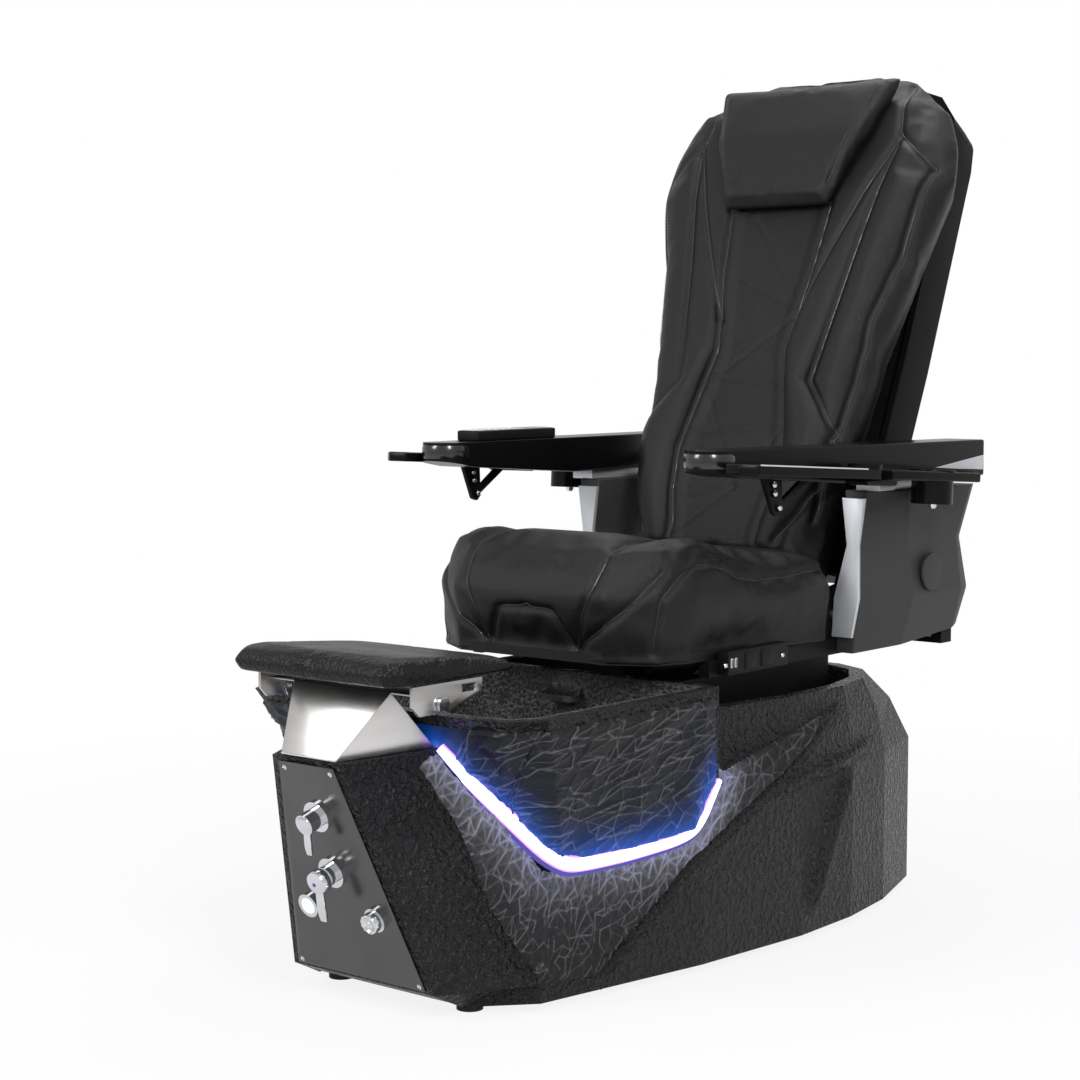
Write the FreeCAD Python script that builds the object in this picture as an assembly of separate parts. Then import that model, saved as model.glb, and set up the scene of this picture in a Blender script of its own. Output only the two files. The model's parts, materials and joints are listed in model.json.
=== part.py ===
import FreeCAD, Part
import math
import os

# Pedicure chair in millimetres. X points to the sitter's left, Y to the rear and Z up.
# Outlines of shapes that are the same left and right are half outlines, (x, y) or
# (x, y, z) points of the left half from front to rear.

# Base shell
FLOOR_GAP = 12
SHELL_WALL = 8
SHOULDER_Z = 270
UPPER_Z = 350
BASE_TOP_Z = 410
FRONT_Y = -613
FRONT_LEAN = 18.3
FRONT_HALF = 150
TOE = (148, -566)
TOE_Z = 40
PROW_Z = 385
PROW_HALF = 68
PROW_REAR = (130, -583, 395)
BASE_BOTTOM = [(225, -480), (285, -160), (310, 90), (306, 250), (285, 390), (228, 570), (150, 632)]
BASE_SHOULDER = [(196, -520), (281, -160), (308, 90), (305, 250), (285, 390), (228, 570), (150, 632)]
BASE_UPPER = [(160, -550), (275, -155), (306, 90), (304, 240), (281, 370), (222, 510), (150, 560)]
BASE_TOP = [(268, -150), (302, 90), (301, 225), (276, 330), (220, 420), (150, 455)]
DECK_LIP = 24
OVER = 1

# Foot basin
RIM_Z = 447
RIM_WIDTH = 26
BOWL_WALL = 7
BOWL_FLOOR_Z = 212
BOWL_GAP = 0.5
BOWL_RIM = [(170, -605), (258, -592), (288, -540), (291, -300), (292, -160), (285, -115)]
BOWL_EDGE = [(118, -584, 395), (184, -525, 305.5), (250, -466, 216), (268, -320, 214), (285, -175, 222),
             (289, -120, 300)]
BOWL_KEEL = [(60, -470), (110, -465), (160, -440), (205, -320), (212, -200), (212, -125)]
BOWL_FLOOR = [(60, -440), (130, -430), (180, -395), (195, -300), (200, -200), (200, -141)]
LIGHT_R = 6
LIGHT_DROP = [(2.3, -5.6, -2.0), (2.3, -5.6, -2.0), (1.5, -4.5, -6.0), (1.0, 0, -6.4), (1.0, 0, -6.4),
              (2.5, 5.5, -2.0)]

# Frame, deck and slide rails
TUBE = 25
FRAME_X = 120
FRAME_FIT = 0.4
POST_X = 190
POST_YS = (-60, 330)
CROSS_YS = (-520, -85, 400)
FOOT_R = 20
FOOT_PAD = 8
STUD_R = 6
DECK_Z = 374
DECK_THICK = 6
DECK_FRONT_Y = -106
DECK_REAR_Y = 395
RAIL_X = 190
RAIL_WIDTH = 28
RAIL_TOP_Z = 445
RAIL_FRONT_Y = -95
RAIL_REAR_Y = 332

# Control panel and its fittings, heights measured up the sloping panel
PANEL_THICK = 3
PANEL_LOW = 35
PANEL_HIGH = 386
PANEL_LOW_HALF = 130
PANEL_HIGH_HALF = 55
PANEL_MARGIN = 20
MIXER_V = 212
DIVERTER_V = 304
FITTING_X = 68
FITTING_V = 146
VALVE_R = 16
VALVE_FLANGE_R = 24
VALVE_FLANGE = 5
VALVE_DEPTH = 60
MIXER_REACH = 40
DIVERTER_REACH = 34
LEVER_CAP = 20
MIXER_CAP_R = 19
DIVERTER_CAP_R = 15
MIXER_BLADE = 60
DIVERTER_BLADE = 46
BLADE_WIDTH = 14
BLADE_THICK = 7
STEM_R = 6
STEM_DEPTH = 20
RUN_FIT = 0.05
SIDE_FIT = 0.3
BEZEL_R = 19
BEZEL_THICK = 6
BEZEL_TUBE_R = 15
BUTTON_R = 12.5
BUTTON_PROUD = 3
BUTTON_TRAVEL = 3
BEZEL_DEPTH = 20
KNOB_R = 16
KNOB_THICK = 12
SCREW_X_LOW = 120
SCREW_V_LOW = 42
SCREW_X_HIGH = 46
SCREW_V_HIGH = 376
SCREW_HEAD_R = 5
SCREW_HEAD = 2.5
SCREW_R = 2.5
SCREW_LONG = 7

# Water, drain and service fittings
JET_Z = 315
JET_R = 52
JET_DEEP = 28
JET_WALL = 6
JET_HOLE_RING = 25
HOLE_COUNT = 6
IMPELLER_R = 36
IMPELLER_THICK = 12
IMPELLER_GAP = 2
VANE_THICK = 3
SHAFT_R = 5
SHAFT_HOLE_R = 8
MOTOR_R = 42
MOTOR_LONG = 88
SPOUT_Z = 402
SPOUT_WIDE = 64
SPOUT_HIGH = 20
SPOUT_REACH = 30
DRAIN_Y = -300
DRAIN_FLANGE_R = 30
DRAIN_R = 22
TAIL_R = 19
TAIL_BORE_R = 16
GRATE_RING = 9.5
GRATE_R = 3
TAIL_TOP_Z = 110
TAIL_END_Z = 44
SERVICE_HALF = 125
SERVICE_LOW_Z = 48
SERVICE_HIGH_Z = 162
SERVICE_THICK = 3
INLET_X = 75
INLET_Z = 105
INLET_R = 10.5
INLET_LONG = 26
INLET_NUT_R = 16
INLET_NUT = 8
POWER_HALF = 24
POWER_HIGH = 32
POWER_LIP = 4
CONTROL_BOX = (150, 180, 60)
CONTROL_Y = 150

# Footrest
BRACKET_THICK = 3
BRACKET_FACE = 4.5
BRACKET_FOOT_FRONT = (55, -732, 386)
BRACKET_FOOT_REAR = (112, -586, 395.6)
BRACKET_TOP_Z = 483
BRACKET_TOP_HALF = 99
BRACKET_TOP_FRONT_Y = -662
BRACKET_TOP_REAR_Y = -606
EAR_X = 150
EAR_R = 15
PIVOT_Y = -620
PIVOT_Z = 466
PIVOT_R = 6
PIVOT_HEAD_R = 11
BOLT_GRIP = 9
LINK_THICK = 6
LINK_GAP = 1
LINK_FRONT_Y = -680
LINK_REAR_Y = -530
LINK_LOW_Z = 453
LINK_HEEL_Y = -610
LINK_REAR_LOW_Z = 476
LINK_SLOT = (-574, -546, 5)
LINK_SLOT_Z = 484
PAD_BOTTOM_Z = 497
PAD_BOTTOM = [(148, -726), (162, -700), (162, -470), (150, -458)]
PAD_MIDDLE = [(154, -738, 516), (168, -706, 516), (168, -466, 507), (154, -452, 507)]
PAD_TOP = [(146, -724, 534), (158, -698, 537), (158, -476, 517), (146, -464, 515)]

# Seat carriage
CARRIAGE_Z = 453
CARRIAGE_TOP_Z = 480
BAR_X = 228
BAR_WIDTH = 20
BAR_FRONT_Y = -90
PLATE_X = 230
PLATE_THICK = 10
PLATE_HALF = 30
PLATE_RISE = 25
CROSS_WIDTH = 40
SHOE_YS = (60, 210)
SHOE_GAP = 0.3
SEAT_PAN = 16
SEAT_FIT = 1.0
SEAT_BOTTOM = [(150, -235), (222, -190), (243, -130), (246, 240)]
SEAT_MIDDLE = [(152, -252, 585), (232, -200, 585), (254, -130, 585), (254, 247, 570)]
SEAT_TOP = [(140, -215, 662), (210, -178, 662), (235, -120, 660), (238, 238, 622)]
UPRIGHT_X = 297
UPRIGHT_WIDTH = 20
UPRIGHT_Y = 525
UPRIGHT_DEEP = 36

# Side panels, rings of (x, y) points from the front inner corner round to the rear inner corner
PANEL_WALL = 5
SIDE_FRONT_Y = 282
SIDE_TOP_Z = 735
SIDE_RISE = 0.09
SIDE_RINGS = [
    (456, [(250, SIDE_FRONT_Y), (284, SIDE_FRONT_Y), (320, 380), (328, 545), (316, 578), (262, 578)]),
    (552, [(250, SIDE_FRONT_Y), (298, SIDE_FRONT_Y), (342, 385), (345, 545), (332, 588), (262, 588)]),
    (642, [(274, SIDE_FRONT_Y), (297, SIDE_FRONT_Y), (336, 370), (336, 540), (324, 572), (274, 572)]),
    (SIDE_TOP_Z, [(264, SIDE_FRONT_Y), (308, SIDE_FRONT_Y), (345, 362), (345, 575), (335, 602), (264, 602)]),
]
TRIM_THICK = 8
TRIM_LOW = [(246, 484), (285, 484)]
TRIM_HIGH_Z = 722
CAP_Y = 435
CAP_Z = 590
CAP_R = 33
CAP_THICK = 6
CAP_STEM_R = 18
CAP_X = 344
POST_BLOCK = (284, 330, 286, 430)
OUTLET_Y = -68
OUTLET_LONG = 172
OUTLET_LOW_Z = 456
OUTLET_HIGH_Z = 494
OUTLET_DEEP = 22

# Back, built along its own slope: x, distance up the back from the pivot, distance forward
PIVOT_BACK_Y = 290
PIVOT_BACK_Z = 520
RECLINE = 21.5
BACK_PIN_R = 10
BACK_PIN_END = 246
BACK_REAR_F = -30
BACK_REAR = [(200, 62), (218, 300), (232, 470), (262, 640), (290, 775), (280, 862), (252, 930), (176, 990),
             (106, 1006)]
BACK_MID = [(206, 52, 22), (230, 300, 24), (250, 470, 26), (288, 664, 26), (319, 800, 24), (306, 868, 20),
            (276, 934, 18), (188, 1006, 18), (110, 1022, 18)]
BACK_FRONT = [(186, 66, 60), (200, 300, 66), (212, 470, 70), (240, 640, 74), (272, 758, 78), (264, 856, 70),
              (236, 944, 62), (166, 988, 56), (98, 1002, 54)]
PILLOW_REAR_HALVES = (100, 150, 174)
PILLOW_GAP = 0.5
PILLOW_MID = [(110, 730, 100), (160, 856, 96), (194, 975, 74)]
PILLOW_FRONT = [(98, 748, 122), (146, 856, 120), (176, 955, 96)]
SHELL_OUTLINE = [(226, 84), (232, 190), (236, 330), (242, 500), (244, 900), (238, 955), (204, 998),
                 (150, 1018)]
SHELL_FRONT = -45
SHELL_REAR = -160
SHELL_SLOPE = 12
SHELL_THICK = 5
BACK_TUBE_X = 190
BACK_TUBE_WIDTH = 26
BACK_TUBE_REAR = -96
BACK_TUBE_DEEP = 36
BACK_TUBE_TOP = 930
BACK_CROSS_US = (125, 900)
BOSS_X = 100
BOSS_R = 12
TORSION_R = 16
CHEEK_FOOT = 10
CHEEK_BENDS = (22, 70)
CHEEK_WALL = 6
LEVER_LONG = 95
LEVER_TILT = 7.5
LEVER_X = 14
LEVER_THICK = 6
LEVER_PIN_R = 8
LEVER_SLACK = 1.5
LEVER_SLOT = 7
LEVER_RIM = 8
LEVER_PIN_OVER = 4
ROD_R = 10
ROD_FRONT_Y = 90
DRIVE_R = 22
DRIVE_FRONT_Y = 40
DRIVE_REAR_Y = 200
DRIVE_END = 3
HANGER_INSET = 2
SLIDE_DRIVE_X = 110
SLIDE_DRIVE_Z = 412
SLIDE_DRIVE_R = 18
SLIDE_DRIVE_FRONT_Y = -90
SLIDE_DRIVE_REAR_Y = 90
SLIDE_ROD_R = 8
SLIDE_ROD_FRONT_Y = 22
LUG_Y = 197
LUG_THICK = 26
MASSAGE_RAIL_X = 150
MASSAGE_RAIL_R = 8
MASSAGE_RAIL_F = -62
MASSAGE_CARRIAGE = (400, 520, -86, -44)
ROLLER_X = 62
ROLLER_R = 22
ROLLER_WIDTH = 24
ROLLER_F = -57
ROLLER_AXLE_R = 5
ROLLER_BAY = 4

# Arms
ARM_X = 328
ARM_HALF = 40
ARM_TOP_Z = 815
ARM_TOE = 4.5
ARM_FRONT_Y = -170
ARM_REAR_Y = 578
ARM_UNDER_Z = 752
ARM_UNDER = [(200, ARM_UNDER_Z), (-100, 772), (ARM_FRONT_Y, 784)]
ARM_PIN_Y = 548
ARM_PIN_Z = 775
ARM_PIN_R = 8
ARM_PIN_INSET = 2
ARM_SLOT = 5
LEDGE_DROP = 3.25
LEDGE_FRONT_Y = ARM_FRONT_Y
LEDGE_FRONT_Z = 798
LEDGE_OUT_X = 446
LEDGE_THICK = 16
LEDGE_ROOT = 10
LEDGE_START = 362
LEDGE_TURN = 617
LEDGE_END = 732
TRAY_PIVOT = (412, 330)
TRAY_KNUCKLE_R = 28
TRAY_OUTLINE = [(384, 330), (374, 290), (374, 40), (388, 4), (420, 0), (440, 20), (440, 330)]
TRAY_PROUD = 8
TONGUE_HALF = 22
TONGUE_THICK = 10
TONGUE_GAP = 0.5
STUD_PIN_R = 6
STUD_LONG = 18
CUP_CENTRE = (407, 531)
CUP_R = 33
CUP_WALL = 2
CUP_DEEP = 58
CUP_FLANGE = 3
CUP_FLANGE_R = 37.5
BRACE_X = 360
BRACE_THICK = 8
BRACE_PLATE = [(-58, 800), (2, 800), (6, 716), (-4, 708), (-16, 712)]
BRACE_BAR = [(-10, 712), (0, 730), (116, 800), (148, 800)]
BRACE_BOLTS = [(-6, 720), (-18, 744), (-20, 758)]
BRACE_BOLT_R = 5
REMOTE = (46, 235, 18)
REMOTE_Y = -70

Vec = FreeCAD.Vector
X_AXIS = (1, 0, 0)
PANEL_PLACE = FreeCAD.Placement(Vec(0, FRONT_Y, FLOOR_GAP), FreeCAD.Rotation(Vec(1, 0, 0), 90 + FRONT_LEAN))
BACK_PLACE = FreeCAD.Placement(Vec(0, PIVOT_BACK_Y, PIVOT_BACK_Z),
                               FreeCAD.Rotation(Vec(1, 0, 0), 90 - RECLINE))
ARM_PLACE = FreeCAD.Placement(Vec(0, 0, 0), FreeCAD.Rotation(Vec(0, 0, 1), -ARM_TOE),
                              Vec(ARM_X, ARM_PIN_Y, 0))
LEDGE_PLACE = ARM_PLACE.multiply(FreeCAD.Placement(Vec(0, LEDGE_FRONT_Y, LEDGE_FRONT_Z),
                                                   FreeCAD.Rotation(Vec(1, 0, 0), -LEDGE_DROP)))
nodes = {}


def box(x0, x1, y0, y1, z0, z1):
    return Part.makeBox(x1 - x0, y1 - y0, z1 - z0, Vec(x0, y0, z0))


def rod(start, direction, radius, length):
    return Part.makeCylinder(radius, length, Vec(*start), Vec(*direction))


def polygon(points):
    loop = [Vec(*p) for p in points]
    return Part.Face(Part.makePolygon(loop + loop[:1]))


def prism(points, push):
    return polygon(points).extrude(Vec(*push))


def side_prism(outline, x0, x1):
    """Outline of (y, z) points carried across from x0 to x1."""
    return prism([(x0, y, z) for y, z in outline], (x1 - x0, 0, 0))


def plan_prism(outline, z0, z1):
    """Outline of (x, y) points carried up from z0 to z1."""
    return prism([(x, y, z0) for x, y in outline], (0, 0, z1 - z0))


def closed(faces):
    """Solid inside a set of faces that meet edge to edge."""
    shell = Part.makeShell(faces)
    shell.sewShape()
    solid = Part.makeSolid(shell)
    if solid.Volume < 0:
        solid.reverse()
    return solid.removeSplitter()


def flip(point):
    return (-point[0], point[1], point[2])


def triangles(low, high):
    """Corner triples of the band between two point rows."""
    rows = zip(low, low[1:], high, high[1:])
    return [corners for a, b, c, d in rows for corners in ((a, b, d), (a, d, c))]


def hull(halves):
    """Faceted solid, the same left and right, through half outlines of (x, y, z) points."""
    faces = []
    for low, high in zip(halves, halves[1:]):
        for corners in triangles(low, high):
            faces.append(polygon(corners))
            faces.append(polygon([flip(p) for p in corners]))
        for end in (0, -1):
            faces.append(polygon([low[end], high[end], flip(high[end]), flip(low[end])]))
    for ring in (halves[0], halves[-1]):
        for near, far in zip(ring, ring[1:]):
            faces.append(polygon([near, far, flip(far), flip(near)]))
    return closed(faces)


def stack(rings):
    """Faceted solid through closed rings of (x, y, z) points, flat at both ends."""
    faces = [polygon(rings[0]), polygon(rings[-1])]
    for low, high in zip(rings, rings[1:]):
        faces += [polygon(corners) for corners in triangles(low + low[:1], high + high[:1])]
    return closed(faces)


def level(outline, z):
    return [(x, y, z) for x, y in outline]


def inward(a, b):
    """Unit normal, to the inside, of the outline's edge from a to b."""
    long = math.hypot(b[0] - a[0], b[1] - a[1])
    return ((a[1] - b[1]) / long, (b[0] - a[0]) / long)


def inset(half, by):
    """Half outline moved inwards by one distance all round, seen from above."""
    row = [flip(half[0])] + list(half) + [flip(half[-1])]
    moved = []
    for before, here, after in zip(row, row[1:], row[2:]):
        m = inward(before, here)
        n = inward(here, after)
        step = by / (1 + m[0] * n[0] + m[1] * n[1])
        moved.append((here[0] + (m[0] + n[0]) * step, here[1] + (m[1] + n[1]) * step, here[2]))
    return moved


def mirrored(shape):
    return shape.mirror(Vec(0, 0, 0), Vec(1, 0, 0))


def both(shape):
    return Part.makeCompound([shape, mirrored(shape)])


def fused(shapes):
    return shapes[0].multiFuse(shapes[1:]).removeSplitter()


def placed(shape, place):
    moved = shape.copy()
    moved.Placement = place.multiply(shape.Placement)
    return moved


def front_point(z):
    """Corner of the sloping front at a height."""
    share = (z - FLOOR_GAP) / (PROW_Z - FLOOR_GAP)
    half = FRONT_HALF + (PROW_HALF - FRONT_HALF) * share
    return (half, FRONT_Y - (z - FLOOR_GAP) * math.tan(math.radians(FRONT_LEAN)), z)


def base_halves(by):
    """Half outlines of the base, moved inwards for its inner side."""
    rings = [
        level([TOE] + BASE_BOTTOM, FLOOR_GAP),
        [front_point(TOE_Z)] + level(BASE_BOTTOM, TOE_Z),
        [front_point(SHOULDER_Z)] + level(BASE_SHOULDER, SHOULDER_Z),
        [front_point(UPPER_Z)] + level(BASE_UPPER, UPPER_Z),
        [front_point(PROW_Z), PROW_REAR] + level(BASE_TOP, BASE_TOP_Z),
    ]
    return [inset(ring, by) for ring in rings]


def lowered(half, by):
    return [(x, y, z - by) for x, y, z in half]


def base_cavity(by):
    halves = base_halves(by)
    halves[0] = lowered(halves[0], by)
    halves[-1] = lowered(halves[-1], by)
    return hull(halves)


def bowl_outer(by):
    """Outside of the basin; a negative inset makes it larger."""
    top = inset(level(BOWL_RIM, RIM_Z - by), by)
    edge = inset(lowered(BOWL_EDGE, -by), by)
    keel = inset(level(BOWL_KEEL, BOWL_FLOOR_Z - BOWL_WALL), by)
    return hull([keel, edge, top])


def bowl_cavity(grow):
    """Water space of the basin, carried on above its rim."""
    floor = inset(level(BOWL_FLOOR, BOWL_FLOOR_Z - grow), -grow)
    rim = inset(level(BOWL_RIM, RIM_Z), RIM_WIDTH - grow)
    return hull([floor, rim, lowered(rim, -RIM_WIDTH)])


def tube(points, radius):
    """Eight-sided bar along a path of points."""
    rings = []
    for i, point in enumerate(points):
        along = points[min(i + 1, len(points) - 1)] - points[max(i - 1, 0)]
        side = along.cross(Vec(*X_AXIS)).normalize()
        other = along.cross(side).normalize()
        ring = []
        for turn in range(8):
            angle = math.radians(45 * turn + 22.5)
            ring.append(point + side * (radius * math.cos(angle)) + other * (radius * math.sin(angle)))
        rings.append(ring)
    return stack(rings)


def panel_rod(x, v, radius, n0, n1):
    """Round bar square to the control panel, between two distances from the shell's front."""
    return placed(rod((x, v, n0), (0, 0, 1), radius, n1 - n0), PANEL_PLACE)


def panel_box(x0, x1, v0, v1, n0, n1):
    return placed(box(x0, x1, v0, v1, n0, n1), PANEL_PLACE)


light_path = [Vec(*p) + Vec(*d) for p, d in zip(BOWL_EDGE, LIGHT_DROP)]
light = tube(light_path, LIGHT_R)
nodes["light_strips"] = both(light)

# Base shell: skirt open below, cut away for the basin, the deck and the fittings.
shell = hull(base_halves(0)).cut(base_cavity(SHELL_WALL))
deck_hole = inset(level(BASE_TOP, UPPER_Z), DECK_LIP)
deck_hole[0] = (deck_hole[0][0], BOWL_RIM[-1][1], UPPER_Z)
shell = shell.cut(hull([deck_hole, lowered(deck_hole, UPPER_Z - RIM_Z)]))
bowl_room = bowl_outer(-BOWL_GAP)
bowl_above = inset(level(BOWL_RIM, RIM_Z - RIM_WIDTH), -BOWL_GAP)
shell = shell.cut(bowl_room).cut(hull([bowl_above, lowered(bowl_above, -2 * RIM_WIDTH)]))
light_room = tube(light_path, LIGHT_R + BOWL_GAP)
shell = shell.cut(light_room).cut(mirrored(light_room))
window = [(PANEL_LOW_HALF - PANEL_MARGIN, PANEL_LOW + PANEL_MARGIN),
          (PANEL_HIGH_HALF - PANEL_MARGIN, PANEL_HIGH - 2 * PANEL_MARGIN)]
window = window + [(-x, v) for x, v in reversed(window)]
shell = shell.cut(placed(plan_prism(window, -2 * SHELL_WALL, PANEL_THICK), PANEL_PLACE))
screw_spots = [(SCREW_X_LOW, SCREW_V_LOW), (-SCREW_X_LOW, SCREW_V_LOW), (SCREW_X_HIGH, SCREW_V_HIGH),
               (-SCREW_X_HIGH, SCREW_V_HIGH)]
for x, v in screw_spots:
    shell = shell.cut(panel_rod(x, v, SCREW_R, -2 * SHELL_WALL, PANEL_THICK))
rear_y = BASE_BOTTOM[-1][1]
service_hole = box(PANEL_MARGIN - SERVICE_HALF, SERVICE_HALF - PANEL_MARGIN, rear_y - 2 * SHELL_WALL,
                   rear_y + OVER, SERVICE_LOW_Z + PANEL_MARGIN, SERVICE_HIGH_Z - PANEL_MARGIN)
nodes["base_shell"] = max(shell.cut(service_hole).Solids, key=lambda s: s.Volume)

# Foot basin and the skirt that carries its rim, with holes for the drain, the jet shaft and the motor.
wall_y = BOWL_FLOOR[-1][1]
between = bowl_outer(BOWL_WALL)
edge_in = inset(lowered(BOWL_EDGE, -BOWL_WALL), BOWL_WALL)
keel_in = inset(level(BOWL_KEEL, BOWL_FLOOR_Z), BOWL_WALL)
drop = 3 * BOWL_WALL
between = between.fuse(hull([edge_in, lowered(edge_in, drop), lowered(keel_in, drop)]))
bowl_side = bowl_cavity(BOWL_WALL)
skirt = bowl_outer(0).cut(between).cut(bowl_side)
strip_room = tube(light_path, LIGHT_R + RUN_FIT)
skirt = skirt.cut(strip_room).cut(mirrored(strip_room))
motor_room = rod((0, wall_y, JET_Z), (0, 1, 0), MOTOR_R + BOWL_GAP, MOTOR_LONG)
skirt = skirt.cut(motor_room)
nodes["basin_skirt"] = max(skirt.Solids, key=lambda s: s.Volume)
basin = bowl_outer(0).common(bowl_side).cut(bowl_cavity(0))
basin = basin.cut(rod((0, DRAIN_Y, 0), (0, 0, 1), DRAIN_R, BOWL_FLOOR_Z + OVER))
basin = basin.cut(rod((0, wall_y - OVER, JET_Z), (0, 1, 0), SHAFT_HOLE_R, 2 * BOWL_WALL))
basin = basin.cut(motor_room.translated(Vec(0, BOWL_WALL, 0)))
nodes["foot_basin"] = max(basin.Solids, key=lambda s: s.Volume)

# Base frame: two long tubes, cross tubes out to the skirt, four posts under the deck.
room = base_cavity(SHELL_WALL + FRAME_FIT)
tube_top = FLOOR_GAP + TUBE
bars = [box(-FRAME_X - TUBE, -FRAME_X, CROSS_YS[0], CROSS_YS[-1], FLOOR_GAP, tube_top),
        box(FRAME_X, FRAME_X + TUBE, CROSS_YS[0], CROSS_YS[-1], FLOOR_GAP, tube_top)]
for y in CROSS_YS:
    bars.append(box(-BASE_BOTTOM[2][0], BASE_BOTTOM[2][0], y - TUBE, y, FLOOR_GAP, tube_top).common(room))
for y in POST_YS:
    for x in (-POST_X, POST_X):
        bars.append(box(x - TUBE / 2, x + TUBE / 2, y - TUBE / 2, y + TUBE / 2, FLOOR_GAP, DECK_Z))
    bars.append(box(-POST_X, POST_X, y - TUBE / 2, y + TUBE / 2, FLOOR_GAP, tube_top))
nodes["base_frame"] = fused(bars)
feet = []
for y in (CROSS_YS[0] - TUBE / 2, CROSS_YS[1] - TUBE / 2, CROSS_YS[2] - TUBE / 2):
    for x in (-FRAME_X - TUBE / 2, FRAME_X + TUBE / 2):
        foot = rod((x, y, 0), (0, 0, 1), FOOT_R, FOOT_PAD)
        feet.append(foot.fuse(rod((x, y, 0), (0, 0, 1), STUD_R, FLOOR_GAP)).removeSplitter())
nodes["levelling_feet"] = Part.makeCompound(feet)

# Deck, slide rails, control box and the drive that moves the seat.
deck_top = DECK_Z + DECK_THICK
deck = box(-BASE_BOTTOM[2][0], BASE_BOTTOM[2][0], DECK_FRONT_Y, DECK_REAR_Y, DECK_Z, deck_top)
nodes["deck_plate"] = deck.common(room)
nodes["slide_rails"] = both(box(RAIL_X - RAIL_WIDTH / 2, RAIL_X + RAIL_WIDTH / 2, RAIL_FRONT_Y, RAIL_REAR_Y,
                                deck_top, RAIL_TOP_Z))
nodes["control_box"] = box(-CONTROL_BOX[0] / 2, CONTROL_BOX[0] / 2, CONTROL_Y, CONTROL_Y + CONTROL_BOX[1],
                           DECK_Z - CONTROL_BOX[2], DECK_Z)
drive_long = SLIDE_DRIVE_REAR_Y - SLIDE_DRIVE_FRONT_Y
slide_drive = rod((SLIDE_DRIVE_X, SLIDE_DRIVE_FRONT_Y, SLIDE_DRIVE_Z), (0, 1, 0), SLIDE_DRIVE_R, drive_long)
saddle = box(SLIDE_DRIVE_X - SLIDE_DRIVE_R, SLIDE_DRIVE_X + SLIDE_DRIVE_R, SLIDE_DRIVE_FRONT_Y,
             SLIDE_DRIVE_REAR_Y, deck_top, SLIDE_DRIVE_Z)
slide_bore = rod((SLIDE_DRIVE_X, SLIDE_DRIVE_FRONT_Y + DRIVE_END, SLIDE_DRIVE_Z), (0, 1, 0),
                 SLIDE_ROD_R + RUN_FIT, drive_long)
nodes["slide_drive"] = fused([slide_drive, saddle]).cut(slide_bore)

# Control panel plate with its screws, valves, bezels, levers, button and knob.
plate = [(PANEL_LOW_HALF, PANEL_LOW), (PANEL_HIGH_HALF, PANEL_HIGH)]
plate = placed(plan_prism(plate + [(-x, v) for x, v in reversed(plate)], 0, PANEL_THICK), PANEL_PLACE)
holes = [(0, MIXER_V, VALVE_R), (0, DIVERTER_V, VALVE_R), (FITTING_X, FITTING_V, BEZEL_TUBE_R),
         (-FITTING_X, FITTING_V, BEZEL_TUBE_R)] + [(x, v, SCREW_R) for x, v in screw_spots]
for x, v, radius in holes:
    plate = plate.cut(panel_rod(x, v, radius, -OVER, PANEL_THICK + OVER))
nodes["control_panel"] = plate
screws = []
for x, v in screw_spots:
    head = panel_rod(x, v, SCREW_HEAD_R, PANEL_THICK, PANEL_THICK + SCREW_HEAD)
    screws.append(fused([head, panel_rod(x, v, SCREW_R, -SCREW_LONG, PANEL_THICK)]))
nodes["panel_screws"] = Part.makeCompound(screws)
valves = []
for v, reach in ((MIXER_V, MIXER_REACH), (DIVERTER_V, DIVERTER_REACH)):
    valve = fused([panel_rod(0, v, VALVE_R, -VALVE_DEPTH, reach),
                   panel_rod(0, v, VALVE_FLANGE_R, PANEL_THICK, PANEL_THICK + VALVE_FLANGE)])
    valves.append(valve.cut(panel_rod(0, v, STEM_R + RUN_FIT, reach - STEM_DEPTH, reach + OVER)))
nodes["valve_bodies"] = Part.makeCompound(valves)


def valve_lever(v, reach, cap_r, blade):
    """Cap over the end of a valve with a blade that hangs down and a stem into the valve."""
    start = reach + SIDE_FIT
    cap = panel_rod(0, v, cap_r, start, start + LEVER_CAP)
    arm = panel_box(-BLADE_WIDTH / 2, BLADE_WIDTH / 2, v - blade, v, start + LEVER_CAP / 3,
                    start + LEVER_CAP / 3 + BLADE_THICK)
    stem = panel_rod(0, v, STEM_R, reach - STEM_DEPTH + SIDE_FIT, start)
    return fused([cap, arm, stem])


nodes["mixer_lever"] = valve_lever(MIXER_V, MIXER_REACH, MIXER_CAP_R, MIXER_BLADE)
nodes["diverter_lever"] = valve_lever(DIVERTER_V, DIVERTER_REACH, DIVERTER_CAP_R, DIVERTER_BLADE)
bezel_top = PANEL_THICK + BEZEL_THICK
bezels = []
for x in (-FITTING_X, FITTING_X):
    bezels.append(fused([panel_rod(x, FITTING_V, BEZEL_R, PANEL_THICK, bezel_top),
                         panel_rod(x, FITTING_V, BEZEL_TUBE_R, -BEZEL_DEPTH, bezel_top)]))
button_floor = bezel_top - BEZEL_DEPTH
bezels[0] = bezels[0].cut(panel_rod(-FITTING_X, FITTING_V, BUTTON_R + SIDE_FIT, button_floor,
                                    bezel_top + OVER))
bezels[1] = bezels[1].cut(panel_rod(FITTING_X, FITTING_V, STEM_R + RUN_FIT, bezel_top - STEM_DEPTH,
                                    bezel_top + OVER))
nodes["panel_bezels"] = Part.makeCompound(bezels)
nodes["jet_button"] = panel_rod(-FITTING_X, FITTING_V, BUTTON_R, button_floor + BUTTON_TRAVEL + OVER,
                                bezel_top + BUTTON_PROUD)
knob_low = bezel_top + SIDE_FIT
knob = panel_rod(FITTING_X, FITTING_V, KNOB_R, knob_low, knob_low + KNOB_THICK)
grip = panel_box(FITTING_X - BLADE_THICK / 2, FITTING_X + BLADE_THICK / 2, FITTING_V - KNOB_R,
                 FITTING_V + KNOB_R, knob_low, knob_low + KNOB_THICK + BLADE_THICK)
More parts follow.
